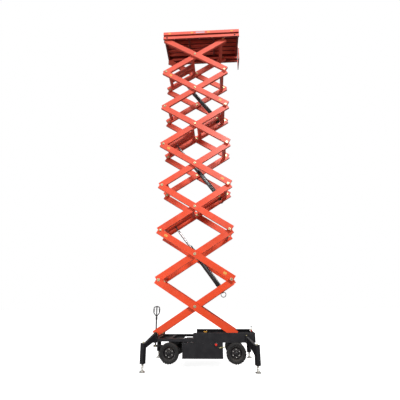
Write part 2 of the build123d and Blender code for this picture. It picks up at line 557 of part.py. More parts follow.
# ---- the chassis: rails, cross members, posts, hangers and axle beams in one welded frame
rail_middle = (RAIL_FACE + RAIL_BACK) / 2
channel_middle = (RAIL_FACE + RAIL_LIP) / 2
rail_height = CHANNEL_TOP - RAIL_BOTTOM
with BuildPart() as chassis_frame:
    for side in (-1, 1):
        # Low rail at the left, raised channel at the right with the roller track inside.
        with Locations(((RAIL_LEFT + RAIL_STEP) / 2, side * rail_middle, sum(LOW_RAIL) / 2)):
            Box(RAIL_STEP - RAIL_LEFT, RAIL_FACE - RAIL_BACK, LOW_RAIL[1] - LOW_RAIL[0])
        with BuildSketch(Plane.YZ.offset(RAIL_STEP)):
            with Locations((side * channel_middle, RAIL_BOTTOM + rail_height / 2)):
                Rectangle(RAIL_FACE - RAIL_LIP, rail_height)
            with Locations((side * (channel_middle - RAIL_WALL), RAIL_BOTTOM + rail_height / 2)):
                Rectangle(RAIL_FACE - RAIL_LIP, rail_height - 2 * FLANGE, mode=Mode.SUBTRACT)
            with Locations((side * channel_middle, sum(TRACK) / 2)):
                Rectangle(RAIL_FACE - RAIL_LIP, TRACK[1] - TRACK[0])
        extrude(amount=RAIL_RIGHT - RAIL_STEP)
        with Locations((RAIL_STEP + RAIL_WALL / 2, side * rail_middle, (RAIL_BOTTOM + TRACK[0]) / 2)):
            Box(RAIL_WALL, RAIL_FACE - RAIL_BACK, TRACK[0] - RAIL_BOTTOM)
        # Ear of the scissor's fixed pivot.
        with Locations((BASE_X, side * sum(EAR) / 2, (LOW_RAIL[1] + BASE_Z) / 2 - 10)):
            Box(EAR_WIDTH, EAR[1] - EAR[0], BASE_Z - LOW_RAIL[1] + 20)
        with Locations(across(BASE_X, side * sum(EAR_BOSS) / 2, BASE_Z)):
            Cylinder(EAR_BOSS_R, EAR_BOSS[1] - EAR_BOSS[0])
            Cylinder(PIN_R + RUNNING, EAR_BOSS[1] - EAR_BOSS[0] + 2, mode=Mode.SUBTRACT)
        # Left corner post.
        with Locations((-HINGE_X, side * rail_middle, (RAIL_BOTTOM + POST_TOP) / 2)):
            Box(POST, POST, POST_TOP - RAIL_BOTTOM)
        # Lugs of the swinging legs, above and below each leg's barrel.
        for end, barrel in ((-1, LEFT_BARREL), (1, RIGHT_BARREL)):
            for z in (barrel[0] - LUG_GAP - LUG_THICK / 2, barrel[1] + LUG_GAP + LUG_THICK / 2):
                with Locations((end * HINGE_X, side * (RAIL_FACE + HINGE_Y) / 2, z)):
                    Box(LUG_WIDTH, HINGE_Y - RAIL_FACE + 2, LUG_THICK)
                with Locations((end * HINGE_X, side * HINGE_Y, z)):
                    Cylinder(LEG_BARREL_R, LUG_THICK)
                    Cylinder(LEG_PIN_R, LUG_THICK, mode=Mode.SUBTRACT)
        # Hangers of the two axles.
        for x, hanger, width, top in (
            (DRIVE_X, DRIVE_HANGER, DRIVE_HANGER_WIDTH, RAIL_BOTTOM),
            (STEER_X, STEER_HANGER, STEER_HANGER_WIDTH, LOW_RAIL[0]),
        ):
            with Locations((x, side * sum(hanger) / 2, (AXLE_Z + top) / 2)):
                Box(width, hanger[1] - hanger[0], top - AXLE_Z + HANGER_DROP)
        # Stub of the fixed wheel.
        stub_end = WHEEL_Y + STUB_END
        with Locations(across(DRIVE_X, side * (DRIVE_HANGER[0] + stub_end) / 2, AXLE_Z)):
            Cylinder(STUB_R, stub_end - DRIVE_HANGER[0])
        with Locations(across(DRIVE_X, side * sum(DRIVE_SHOULDER) / 2, AXLE_Z)):
            Cylinder(SHOULDER_R, DRIVE_SHOULDER[1] - DRIVE_SHOULDER[0])
        # Eye of the kingpin at the end of the steered axle.
        with Locations((STEER_X, side * 445, AXLE_Z)):
            Box(44, 50, 50)
        with Locations((STEER_X, side * KINGPIN_Y, AXLE_Z)):
            Cylinder(STEER_EYE_R, STEER_EYE_HEIGHT)
            Cylinder(KINGPIN_R + RUNNING, STEER_EYE_HEIGHT + 2, mode=Mode.SUBTRACT)
    # Cross members.
    low_middle = sum(LOW_RAIL) / 2
    for x in (RAIL_LEFT + CROSS_MEMBER / 2, STEER_X, RAIL_STEP - CROSS_MEMBER / 2 + 20):
        with Locations((x, 0, low_middle)):
            Box(CROSS_MEMBER, 2 * RAIL_BACK + 2, LOW_RAIL[1] - LOW_RAIL[0] - 1)
    with Locations((DRIVE_X, 0, DRIVE_MEMBER_Z)):
        Box(CROSS_MEMBER, 2 * RAIL_BACK + 2, CROSS_MEMBER)
    with Locations((RAIL_RIGHT - END_PLATE / 2, 0, RAIL_BOTTOM + rail_height / 2)):
        Box(END_PLATE, 2 * RAIL_FACE, rail_height)
    # Axle beams.
    for x, length in ((STEER_X, STEER_BEAM_LENGTH), (DRIVE_X, 2 * DRIVE_HANGER[1])):
        with Locations((x, 0, AXLE_Z)):
            Box(AXLE_BEAM, length, AXLE_BEAM)
    # Upright pin that the tow bar turns on.
    with Locations((STEER_X, 0, sum(TOW_PIN) / 2)):
        Cylinder(TOW_PIN_R, TOW_PIN[1] - TOW_PIN[0])
    with Locations((STEER_X, 0, TOW_CAP[2])):
        Cylinder(TOW_CAP[0], TOW_CAP[1])
    # Valve block on the right end plate.
    with Locations(VALVE_BLOCK):
        Box(*VALVE_BLOCK_SIZE)
    cheek_z = VALVE_BLOCK[2] + VALVE_BLOCK_SIZE[2] / 2 + VALVE_CHEEK_Y
    for side in (-1, 1):
        with Locations((VALVE_BLOCK[0], VALVE_BLOCK[1] + side * VALVE_CHEEK_Y, cheek_z)):
            Box(*VALVE_CHEEK)
    with Locations(across(VALVE_BLOCK[0], VALVE_BLOCK[1], LEVER_Z)):
        Cylinder(LEVER_R + RUNNING, VALVE_BLOCK_SIZE[1], mode=Mode.SUBTRACT)
chassis_frame.part.label = "chassis_frame"
export_step(chassis_frame.part, "parts/chassis_frame.step")

with BuildPart() as valve_lever:
    with Locations(across(VALVE_BLOCK[0], VALVE_BLOCK[1], LEVER_Z)):
        Cylinder(LEVER_R, 2 * (VALVE_CHEEK_Y + VALVE_CHEEK[1] - 1))
        Cylinder(*LEVER_HUB)
    with Locations((VALVE_BLOCK[0], VALVE_BLOCK[1], (LEVER_Z + KNOB_Z) / 2)):
        Cylinder(LEVER_R, KNOB_Z - LEVER_Z)
    with Locations((VALVE_BLOCK[0], VALVE_BLOCK[1], KNOB_Z)):
        Sphere(KNOB_R)
valve_lever.part.label = "valve_lever"
export_step(valve_lever.part, "parts/valve_lever.step")

# ---- the open box between the wheels, with the power unit inside
box_length = BOX_X[1] - BOX_X[0]
box_middle = sum(BOX_X) / 2
with BuildPart() as power_box:
    with Locations((box_middle, 0, (BOX_BOTTOM + RAIL_BOTTOM) / 2)):
        Box(box_length, 2 * BOX_FACE, RAIL_BOTTOM - BOX_BOTTOM)
    with Locations((box_middle, 0, (BOX_BOTTOM + RAIL_BOTTOM) / 2 + BOX_WALL)):
        inside = (box_length - 2 * BOX_WALL, 2 * (BOX_FACE - BOX_WALL))
        Box(*inside, RAIL_BOTTOM - BOX_BOTTOM, mode=Mode.SUBTRACT)
    with Locations(across(BUTTON_X, -BOX_FACE - 3, BUTTON_Z)):
        Cylinder(BUTTON_COLLAR_R, 10)
    with Locations(across(BUTTON_X, -BOX_FACE, BUTTON_Z)):
        Cylinder(BUTTON_STEM_R + RUNNING, 30, mode=Mode.SUBTRACT)
power_box.part.label = "power_box"
export_step(power_box.part, "parts/power_box.step")

with BuildPart() as estop_button:
    with Locations(across(BUTTON_X, -BOX_FACE - 6, BUTTON_Z)):
        Cylinder(BUTTON_STEM_R, 44)
    with Locations(across(BUTTON_X, -BOX_FACE + 13, BUTTON_Z)):
        Cylinder(BUTTON_STEM_R + 4, 6)
    with Locations(across(BUTTON_X, -BOX_FACE - 25, BUTTON_Z)):
        Cylinder(*BUTTON_HEAD)
    chamfer(estop_button.faces().sort_by(Axis.Y)[0].edges(), 5)
estop_button.part.label = "estop_button"
export_step(estop_button.part, "parts/estop_button.step")

floor = BOX_BOTTOM + BOX_WALL
with BuildPart() as power_unit:
    with Locations((box_middle, 0, floor + UNIT_BASE[2] / 2)):
        Box(*UNIT_BASE)
    for (x, y, up), size in UNIT_BLOCKS:
        with Locations((x, y, floor + up)):
            Box(*size)
    with Locations((MOTOR[0], MOTOR[1], floor + MOTOR[2])):
        Cylinder(MOTOR_R, MOTOR_LENGTH, rotation=(0, 90, 0))
power_unit.part.label = "power_unit"
export_step(power_unit.part, "parts/power_unit.step")

# ---- wheels: a tyre and a rim at each corner
wheels = (
    ("front_left", STEER_X, -1),
    ("back_left", STEER_X, 1),
    ("front_right", DRIVE_X, -1),
    ("back_right", DRIVE_X, 1),
)
half = WHEEL_WIDTH / 2
edge = half - 8
for name, x, side in wheels:
    wheel_plane = Plane(origin=(x, side * WHEEL_Y, AXLE_Z), x_dir=(1, 0, 0), z_dir=(0, side, 0))
    with BuildPart() as tyre:
        with BuildSketch(Plane(origin=(x, side * WHEEL_Y, AXLE_Z), x_dir=(1, 0, 0), z_dir=(0, 0, 1))):
            with BuildLine():
                points = [(RIM_R, -edge), (RIM_R + 22, -half), (WHEEL_R - 16, -half + 4)]
                points += [(WHEEL_R - 3, -half + 18), (WHEEL_R, -20)]
                points += [(r, -y) for r, y in reversed(points)]
                Polyline(*points, close=True)
            make_face()
        revolve(axis=Axis((x, 0, AXLE_Z), (0, 1, 0)))
    tyre.part.label = f"tyre_{name}"
    export_step(tyre.part, f"parts/tyre_{name}.step")
    with BuildPart(wheel_plane) as rim:
        with Locations((0, 0, 0)):
            Cylinder(RIM_R - 0.3, 2 * edge)
            Cylinder(RIM_R - RIM_WALL, 2 * edge, mode=Mode.SUBTRACT)
            Cylinder(RIM_R - RIM_WALL / 2, RIM_WALL)
        with Locations((0, 0, 8)):
            Cylinder(HUB_R, HUB_LENGTH)
        Cylinder(STUB_R + RUNNING, 2 * WHEEL_WIDTH, mode=Mode.SUBTRACT)
        with PolarLocations(HAND_HOLES[0], HAND_HOLES[2], start_angle=30):
            Cylinder(HAND_HOLES[1], 30, mode=Mode.SUBTRACT)
    rim.part.label = f"rim_{name}"
    export_step(rim.part, f"parts/rim_{name}.step")

# ---- steering: knuckles, tie rod, tow bar and tiller
tie_x = STEER_X - STEER_ARM
for name, side in (("front", -1), ("back", 1)):
    with BuildPart() as knuckle:
        for z in (AXLE_Z + 31 + ARM_PLATE / 2, AXLE_Z - 31 - ARM_PLATE / 2):
            with Locations((STEER_X, side * (KINGPIN_Y + 11), z)):
                Box(50, 66, ARM_PLATE)
        with Locations((STEER_X, side * 517, AXLE_Z)):
            Box(50, 14, 62 + 2 * ARM_PLATE)
        with Locations((STEER_X, side * KINGPIN_Y, AXLE_Z)):
            Cylinder(KINGPIN_R, 62 + 2 * ARM_PLATE)
        with Locations(across(STEER_X, side * (WHEEL_Y + STUB_END + 510) / 2, AXLE_Z)):
            Cylinder(STUB_R, WHEEL_Y + STUB_END - 510)
        with Locations(across(STEER_X, side * 530, AXLE_Z)):
            Cylinder(SHOULDER_R, 12)
        # Steering arm with its pin for the tie rod.
        with Locations(((STEER_X + tie_x - 16) / 2, side * KINGPIN_Y, AXLE_Z - 31 - ARM_PLATE / 2)):
            Box(STEER_ARM + 16, 30, ARM_PLATE)
        pin_top = AXLE_Z - 31
        pin_bottom = TIE_Z - TIE_THICK / 2 - 8
        with Locations((tie_x, side * KINGPIN_Y, (pin_top + pin_bottom) / 2)):
            Cylinder(TIE_PIN_R, pin_top - pin_bottom)
    knuckle.part.label = f"steering_knuckle_{name}"
    export_step(knuckle.part, f"parts/steering_knuckle_{name}.step")

with BuildPart() as tie_rod:
    with Locations((tie_x + 5, 0, TIE_Z)):
        Box(TIE_WIDTH, 2 * KINGPIN_Y + 40, TIE_THICK)
    with Locations(*[(tie_x + 5, y, TIE_Z) for y in (-KINGPIN_Y, 0, KINGPIN_Y)]):
        Box(*TIE_SLOT, TIE_THICK, mode=Mode.SUBTRACT)
tie_rod.part.label = "tie_rod"
export_step(tie_rod.part, "parts/tie_rod.step")

bar_end = TILLER_X + 8
bar_start = STEER_X + BAR_PAST_PIN
tie_top = TIE_Z + 10
with BuildPart() as tow_bar:
    with Locations(((bar_start + bar_end) / 2, 0, TILLER_Z)):
        Box(bar_start - bar_end, BAR_WIDTH, BAR_DEPTH)
    with Locations((STEER_X, 0, TILLER_Z)):
        Cylinder(TOW_PIN_R + RUNNING, BAR_DEPTH + 2, mode=Mode.SUBTRACT)
    with Locations((tie_x, 0, (TILLER_Z + tie_top) / 2)):
        Box(40, 40, TILLER_Z - tie_top)
    with Locations((tie_x, 0, (TILLER_Z + pin_bottom) / 2)):
        Cylinder(TIE_PIN_R, TILLER_Z - pin_bottom)
    with Locations((TILLER_X, 0, TILLER_Z)):
        Box(80, BAR_WIDTH, BAR_DEPTH)
        Box(62, 2 * FORK, BAR_DEPTH, mode=Mode.SUBTRACT)
    with Locations((TILLER_X - 50, 0, TILLER_Z)):
        Box(60, 2 * FORK, BAR_DEPTH, mode=Mode.SUBTRACT)
    with Locations(across(TILLER_X, 0, TILLER_Z)):
        Cylinder(FORK_PIN_R, BAR_WIDTH)
tow_bar.part.label = "tow_bar"
export_step(tow_bar.part, "parts/tow_bar.step")

head_height = TILLER_TOP - HEAD_BOTTOM - HANDLE_R
head_plane = Plane(
    origin=(TILLER_X, 0, HEAD_BOTTOM),
    x_dir=(math.cos(HEAD_TURN), math.sin(HEAD_TURN), 0),
    z_dir=(math.sin(HEAD_TURN), -math.cos(HEAD_TURN), 0),
)
with BuildPart() as tiller:
    with Locations(across(TILLER_X, 0, TILLER_Z)):
        Cylinder(18, 2 * FORK - 2)
        Cylinder(FORK_PIN_R + RUNNING, 2 * FORK, mode=Mode.SUBTRACT)
    with Locations((TILLER_X, 0, (TILLER_Z + 14 + HEAD_BOTTOM) / 2)):
        Cylinder(SHAFT_R, HEAD_BOTTOM - TILLER_Z - 14)
    for side in (-1, 1):
        with BuildLine(head_plane) as loop:
            outline = [(0, 0), (side * GRIP_WIDTH, 70)]
            outline += [(side * GRIP_WIDTH, head_height - 20), (side * 8, head_height)]
            loop_line = FilletPolyline(*outline, radius=30)
        with BuildSketch(Plane(origin=loop_line @ 0, z_dir=loop_line % 0)):
            Circle(HANDLE_R)
        sweep(path=loop_line)
    with Locations((TILLER_X, 0, (HEAD_BOTTOM + TILLER_TOP) / 2 - 8)):
        Cylinder(SHAFT_R - 3, TILLER_TOP - HEAD_BOTTOM - 8)
tiller.part.label = "tiller"
export_step(tiller.part, "parts/tiller.step")

# ---- the swinging legs and their screw jacks
legs = [
    ("front_left", -1, -1, LEFT_PROFILE, LEFT_TUBE, LEFT_BARREL),
    ("back_left", -1, 1, LEFT_PROFILE, LEFT_TUBE, LEFT_BARREL),
    ("front_right", 1, -1, RIGHT_PROFILE, RIGHT_TUBE, RIGHT_BARREL),
    ("back_right", 1, 1, RIGHT_PROFILE, RIGHT_TUBE, RIGHT_BARREL),
]
for name, end, side, profile, tube, barrel in legs:
    outwards = (end * math.sin(LEG_ANGLE), side * math.cos(LEG_ANGLE), 0)
    sideways = (-outwards[1], outwards[0], 0)
    hinge = (end * HINGE_X, side * HINGE_Y, 0)
    leg_plane = Plane(origin=hinge, x_dir=outwards, z_dir=(outwards[1], -outwards[0], 0))
    flat_plane = Plane(origin=hinge, x_dir=outwards, z_dir=(0, 0, 1))
    with BuildPart() as leg:
        with BuildSketch(leg_plane):
            Polygon(*profile, align=None)
        extrude(amount=LEG_THICK / 2, both=True)
        with Locations(flat_plane.location):
            with Locations((LEG_REACH, 0, sum(tube) / 2)):
                Box(LEG_TUBE, LEG_TUBE, tube[1] - tube[0])
                hollow = LEG_TUBE - 2 * LEG_WALL
                Box(hollow, hollow, tube[1] - tube[0] - 20, mode=Mode.SUBTRACT)
                Cylinder(SCREW_R + RUNNING, tube[1] - tube[0] + 2, mode=Mode.SUBTRACT)
            with Locations((0, 0, sum(barrel) / 2)):
                Cylinder(LEG_BARREL_R, barrel[1] - barrel[0])
                Cylinder(LEG_PIN_R - RUNNING, barrel[1] - barrel[0] + 2 * LUG_THICK + 6)
    leg.part.label = f"outrigger_arm_{name}"
    export_step(leg.part, f"parts/outrigger_arm_{name}.step")

    foot_x = end * HINGE_X + LEG_REACH * outwards[0]
    foot_y = side * HINGE_Y + LEG_REACH * outwards[1]
    with BuildPart() as jack:
        with Locations((foot_x, foot_y, FOOT_HEIGHT / 2)):
            Cylinder(FOOT_R, FOOT_HEIGHT)
        chamfer(jack.faces().sort_by(Axis.Z)[-1].edges(), 8)
        with Locations((foot_x, foot_y, (tube[1] + 20) / 2 + 5)):
            Cylinder(SCREW_R, tube[1] + 10)
        with Locations((foot_x, foot_y, FOOT_HEIGHT + FOOT_COLLAR[1] / 2)):
            Cylinder(*FOOT_COLLAR)
    jack.part.label = f"outrigger_jack_{name}"
    export_step(jack.part, f"parts/outrigger_jack_{name}.step")
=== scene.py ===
# %% [markdown]
# # A towable scissor lift, dressed in Blender
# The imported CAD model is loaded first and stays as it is: steel arms, pins, cylinders,
# deck, chassis, wheels and screw jacks. What Blender adds is finish and small detail.
# Everything is in metres, with +X along the chassis and +Z up, so a piece goes straight
# to the place that the model or its joints give.

# %% Load the frame
import bpy
import bmesh
import json
import math
from mathutils import Matrix, Vector


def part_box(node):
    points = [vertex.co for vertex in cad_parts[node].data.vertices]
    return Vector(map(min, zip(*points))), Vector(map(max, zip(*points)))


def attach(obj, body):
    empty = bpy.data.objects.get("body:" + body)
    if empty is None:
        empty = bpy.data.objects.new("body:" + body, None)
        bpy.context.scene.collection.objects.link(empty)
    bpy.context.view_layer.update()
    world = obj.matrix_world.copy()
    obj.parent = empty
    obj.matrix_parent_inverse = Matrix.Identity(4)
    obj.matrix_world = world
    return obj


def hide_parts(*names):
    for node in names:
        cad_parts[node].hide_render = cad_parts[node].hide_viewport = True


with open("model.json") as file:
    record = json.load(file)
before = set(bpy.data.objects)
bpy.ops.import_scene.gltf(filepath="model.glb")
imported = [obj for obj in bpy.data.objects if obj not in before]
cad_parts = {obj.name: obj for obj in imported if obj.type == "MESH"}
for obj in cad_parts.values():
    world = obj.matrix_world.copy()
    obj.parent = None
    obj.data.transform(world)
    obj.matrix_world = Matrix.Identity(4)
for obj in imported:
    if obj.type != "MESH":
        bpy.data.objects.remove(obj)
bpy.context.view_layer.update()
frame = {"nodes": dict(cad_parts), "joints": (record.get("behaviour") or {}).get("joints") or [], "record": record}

joints = {joint["name"]: joint for joint in frame["joints"]}
nodes = frame["nodes"]

# %% [markdown]
# ## The camera
# The lift is seen from low down in front of the chassis, looking up, so its deck shows its
# underside. A wide lens makes the far stages shrink towards the top. The camera is made
# from the direction that it looks in, with a slight roll.

# %% Camera
CAMERA_PLACE = Vector((0.356, -7.248, 1.193))
CAMERA_LENS = 28.06
CAMERA_PITCH = math.radians(18.46)
CAMERA_YAW = math.radians(-3.02)
CAMERA_ROLL = math.radians(-0.25)

camera_data = bpy.data.cameras.new("camera")
camera_data.lens = CAMERA_LENS
camera_data.sensor_width = 36.0
camera = bpy.data.objects.new("camera", camera_data)
bpy.context.scene.collection.objects.link(camera)
turn = (
    Matrix.Rotation(-CAMERA_YAW, 4, "Z")
    @ Matrix.Rotation(math.radians(90) + CAMERA_PITCH, 4, "X")
    @ Matrix.Rotation(CAMERA_ROLL, 4, "Z")
)
camera.matrix_world = Matrix.Translation(CAMERA_PLACE) @ turn
bpy.context.scene.camera = camera
print("camera looks along", tuple(round(v, 3) for v in turn.to_3x3() @ Vector((0, 0, -1))))

# %% [markdown]
# ## Floor and light
# A plain white floor and a white world stand in for a photo studio. Both are brighter
# to the eye than to the steel, so that undersides stay dark against a clean background.
# A strong soft lamp from the front right shapes the box tubes, a weak one from the left
# opens the shadows, and one above lights the deck.


# %% Floor, world and lamps
def shown_and_lit(tree, output, to_steel, to_eye):
    """Shows one shader to the camera, and another to the light that bounces."""
    choice = tree.nodes.new("ShaderNodeMixShader")
    path = tree.nodes.new("ShaderNodeLightPath")
    tree.links.new(path.outputs["Is Camera Ray"], choice.inputs["Fac"])
    tree.links.new(to_steel.outputs[0], choice.inputs[1])
    tree.links.new(to_eye.outputs[0], choice.inputs[2])
    tree.links.new(choice.outputs[0], tree.nodes[output].inputs["Surface"])


scene = bpy.context.scene
scene.view_settings.view_transform = "Standard"

floor_shape = bmesh.new()
bmesh.ops.create_grid(floor_shape, x_segments=1, y_segments=1, size=60.0)
floor_mesh = bpy.data.meshes.new("floor")
floor_shape.to_mesh(floor_mesh)
floor_shape.free()
floor = bpy.data.objects.new("floor", floor_mesh)
scene.collection.objects.link(floor)

floor_paint = bpy.data.materials.new("studio_floor")
floor_paint.use_nodes = True
floor_shader = floor_paint.node_tree.nodes["Principled BSDF"]
FLOOR_LOOK = {
    "Base Color": (0.90, 0.90, 0.90, 1), "Roughness": 0.9, "Specular IOR Level": 0.1,
    "Emission Color": (1, 1, 1, 1), "Emission Strength": 0.90,
}
for key, value in FLOOR_LOOK.items():
    floor_shader.inputs[key].default_value = value
dark_floor = floor_paint.node_tree.nodes.new("ShaderNodeBsdfDiffuse")
dark_floor.inputs["Color"].default_value = (0.26, 0.25, 0.24, 1)
shown_and_lit(floor_paint.node_tree, "Material Output", dark_floor, floor_shader)
floor_mesh.materials.append(floor_paint)

world = bpy.data.worlds.new("studio")
scene.world = world
world.use_nodes = True
sky = world.node_tree.nodes["Background"]
seen_sky = world.node_tree.nodes.new("ShaderNodeBackground")
for glow, strength in ((sky, 0.27), (seen_sky, 1.0)):
    glow.inputs["Color"].default_value = (1, 1, 1, 1)
    glow.inputs["Strength"].default_value = strength
shown_and_lit(world.node_tree, "World Output", sky, seen_sky)


def lamp(name, place, target, size, power):
    data = bpy.data.lights.new(name, "AREA")
    data.shape = "SQUARE"
    data.size = size
    data.energy = power
    light = bpy.data.objects.new(name, data)
    scene.collection.objects.link(light)
    direction = Vector(target) - Vector(place)
    light.matrix_world = Matrix.Translation(place) @ direction.to_track_quat("-Z", "Y").to_matrix().to_4x4()


lamp("key", (5.0, -14.0, 13.0), (0, 0, 4.5), 5.0, 2600)
lamp("fill", (-8.0, -11.0, 3.0), (0, 0, 1.5), 5.0, 560)
lamp("top", (2.0, 3.0, 17.0), (0, 0, 3.0), 5.0, 900)

# %% [markdown]
# ## Shared effects
# Paint and rubber each show the same few things: a colour that isn't quite even, edges
# rubbed bare, dust lying on what faces up, and a fine unevenness of surface. On the orange
# and charcoal paints the lighter edges are also a painted highlight. Plated steel shows an
# uneven tarnish and a fine unevenness.
# Each is a node group with named sockets, so that one change reaches every material.
# The edge effect compares the true normal with one rounded over a few millimetres.


# %% Node group helpers
def new_group(name, inputs, outputs):
    tree = bpy.data.node_groups.new(name, "ShaderNodeTree")
    for label, kind, value in inputs:
        socket = tree.interface.new_socket(name=label, in_out="INPUT", socket_type=kind)
        if value is not None:
            socket.default_value = value
    for label, kind in outputs:
        tree.interface.new_socket(name=label, in_out="OUTPUT", socket_type=kind)
    start = tree.nodes.new("NodeGroupInput")
    end = tree.nodes.new("NodeGroupOutput")
    return tree, start, end


def add(tree, kind, settings=None, **values):
    """A node with its settings and the values of its named inputs."""
    node = tree.nodes.new(kind)
    for key, value in (settings or {}).items():
        setattr(node, key, value)
    for key, value in values.items():
        node.inputs[key.replace("_", " ")].default_value = value
    return node


def maths(tree, operation, first, second=None, clamp=False):
    """A Math node. A number sets its socket, anything else is linked to it."""
    node = add(tree, "ShaderNodeMath", {"operation": operation, "use_clamp": clamp})
    for slot, value in zip(node.inputs, (first, second)):
        if isinstance(value, (int, float)):
            slot.default_value = value
        elif value is not None:
            tree.links.new(value, slot)
    return node.outputs[0]


def blend_colour(tree, factor, first, second):
    node = add(tree, "ShaderNodeMix", {"data_type": "RGBA", "clamp_factor": True})
    colour_inputs = [s for s in node.inputs if s.type == "RGBA"]
    colour_output = [s for s in node.outputs if s.type == "RGBA"][0]
    for slot, value in ((node.inputs[0], factor), (colour_inputs[0], first), (colour_inputs[1], second)):
        if isinstance(value, (tuple, float)):
            slot.default_value = value
        else:
            tree.links.new(value, slot)
    return colour_output


def spread(tree, value, low, high, to_low=0.0, to_high=1.0):
    node = add(tree, "ShaderNodeMapRange", {"interpolation_type": "SMOOTHSTEP"})
    tree.links.new(value, node.inputs["Value"])
    for key, number in (("From Min", low), ("From Max", high), ("To Min", to_low), ("To Max", to_high)):
        node.inputs[key].default_value = number
    return node.outputs["Result"]


def noise(tree, vector, scale, detail=3.0, roughness=0.5):
    node = add(tree, "ShaderNodeTexNoise", Scale=scale, Detail=detail, Roughness=roughness)
    tree.links.new(vector, node.inputs["Vector"])
    return node.outputs["Fac"]


# %% Worn edges, which on the orange and charcoal paints are also a painted highlight
EDGE_WIDTH = 0.004
edge_wear_and_highlight, edge_in, edge_out = new_group(
    "edge_wear_and_highlight",
    [("Vector", "NodeSocketVector", None), ("Amount", "NodeSocketFloat", 0.5)],
    [("Mask", "NodeSocketFloat")],
)
rounded = add(edge_wear_and_highlight, "ShaderNodeBevel", {"samples": 4}, Radius=EDGE_WIDTH)
true_normal = add(edge_wear_and_highlight, "ShaderNodeNewGeometry")
closeness = add(edge_wear_and_highlight, "ShaderNodeVectorMath", {"operation": "DOT_PRODUCT"})
edge_wear_and_highlight.links.new(rounded.outputs[0], closeness.inputs[0])
edge_wear_and_highlight.links.new(true_normal.outputs["Normal"], closeness.inputs[1])
corner = spread(edge_wear_and_highlight, closeness.outputs["Value"], 0.995, 0.80)
chipped = spread(edge_wear_and_highlight, noise(edge_wear_and_highlight, edge_in.outputs["Vector"], 38.0, 6.0, 0.7), 0.42, 0.62)
wear_and_highlight = maths(edge_wear_and_highlight, "MULTIPLY", corner, chipped)
wear_and_highlight = maths(edge_wear_and_highlight, "MULTIPLY", wear_and_highlight, edge_in.outputs["Amount"], clamp=True)
edge_wear_and_highlight.links.new(wear_and_highlight, edge_out.inputs["Mask"])

# %% Dust on what faces up
dust, dust_in, dust_out = new_group(
    "settled_dust",
    [("Vector", "NodeSocketVector", None), ("Amount", "NodeSocketFloat", 0.5)],
    [("Mask", "NodeSocketFloat")],
)
facing = add(dust, "ShaderNodeNewGeometry")
facing_parts = add(dust, "ShaderNodeSeparateXYZ")
dust.links.new(facing.outputs["True Normal"], facing_parts.inputs[0])
upward = spread(dust, facing_parts.outputs["Z"], 0.2, 1.0)
patches = spread(dust, noise(dust, dust_in.outputs["Vector"], 3.5, 7.0, 0.65), 0.35, 0.7)
lying = maths(dust, "MULTIPLY", upward, patches)
lying = maths(dust, "MULTIPLY", lying, dust_in.outputs["Amount"], clamp=True)
dust.links.new(lying, dust_out.inputs["Mask"])

# %% Painted steel: colour drift, worn edges with a painted highlight on some paints, dust, orange peel
painted, painted_in, painted_out = new_group(
    "painted_steel",
    [
        ("Vector", "NodeSocketVector", None),
        ("Paint", "NodeSocketColor", (0.5, 0.5, 0.5, 1)),
        ("Edge", "NodeSocketColor", (0.3, 0.3, 0.3, 1)),
        ("Dust", "NodeSocketColor", (0.4, 0.36, 0.3, 1)),
        ("Wear", "NodeSocketFloat", 0.5),
        ("Dust Amount", "NodeSocketFloat", 0.3),
        ("Gloss Roughness", "NodeSocketFloat", 0.35),
    ],
    [("Color", "NodeSocketColor"), ("Roughness", "NodeSocketFloat"), ("Height", "NodeSocketFloat")],
)
place = painted_in.outputs["Vector"]
drift = spread(painted, noise(painted, place, 1.6, 4.0), 0.3, 0.7, 0.90, 1.06)
shade = add(painted, "ShaderNodeVectorMath", {"operation": "SCALE"})
painted.links.new(painted_in.outputs["Paint"], shade.inputs[0])
painted.links.new(drift, shade.inputs["Scale"])
wear_and_highlight_node = add(painted, "ShaderNodeGroup", {"node_tree": edge_wear_and_highlight})
painted.links.new(place, wear_and_highlight_node.inputs["Vector"])
painted.links.new(painted_in.outputs["Wear"], wear_and_highlight_node.inputs["Amount"])
dust_node = add(painted, "ShaderNodeGroup", {"node_tree": dust})
painted.links.new(place, dust_node.inputs["Vector"])
painted.links.new(painted_in.outputs["Dust Amount"], dust_node.inputs["Amount"])
colour = blend_colour(painted, wear_and_highlight_node.outputs["Mask"], shade.outputs["Vector"], painted_in.outputs["Edge"])
colour = blend_colour(painted, dust_node.outputs["Mask"], colour, painted_in.outputs["Dust"])
painted.links.new(colour, painted_out.inputs["Color"])
smudges = spread(painted, noise(painted, place, 9.0, 5.0, 0.6), 0.35, 0.75, -0.05, 0.12)
gloss = maths(painted, "ADD", painted_in.outputs["Gloss Roughness"], smudges)
gloss = maths(painted, "ADD", gloss, maths(painted, "MULTIPLY", dust_node.outputs["Mask"], 0.35), clamp=True)
painted.links.new(gloss, painted_out.inputs["Roughness"])
peel = noise(painted, place, 420.0, 2.0)
chip_depth = maths(painted, "MULTIPLY", wear_and_highlight_node.outputs["Mask"], -1.5)
painted.links.new(maths(painted, "ADD", peel, chip_depth), painted_out.inputs["Height"])

# %% Bare or plated metal: tarnish, fine turning marks, stains
plated, plated_in, plated_out = new_group(
    "plated_steel",
    [
        ("Vector", "NodeSocketVector", None),
        ("Metal", "NodeSocketColor", (0.6, 0.6, 0.6, 1)),
        ("Tarnish", "NodeSocketColor", (0.3, 0.28, 0.2, 1)),
        ("Tarnish Amount", "NodeSocketFloat", 0.5),
        ("Base Roughness", "NodeSocketFloat", 0.3),
    ],
    [("Color", "NodeSocketColor"), ("Roughness", "NodeSocketFloat"), ("Height", "NodeSocketFloat")],
)
place = plated_in.outputs["Vector"]
cloud = spread(plated, noise(plated, place, 55.0, 6.0, 0.65), 0.42, 0.72)
cloud = maths(plated, "MULTIPLY", cloud, plated_in.outputs["Tarnish Amount"], clamp=True)
colour = blend_colour(plated, cloud, plated_in.outputs["Metal"], plated_in.outputs["Tarnish"])
plated.links.new(colour, plated_out.inputs["Color"])
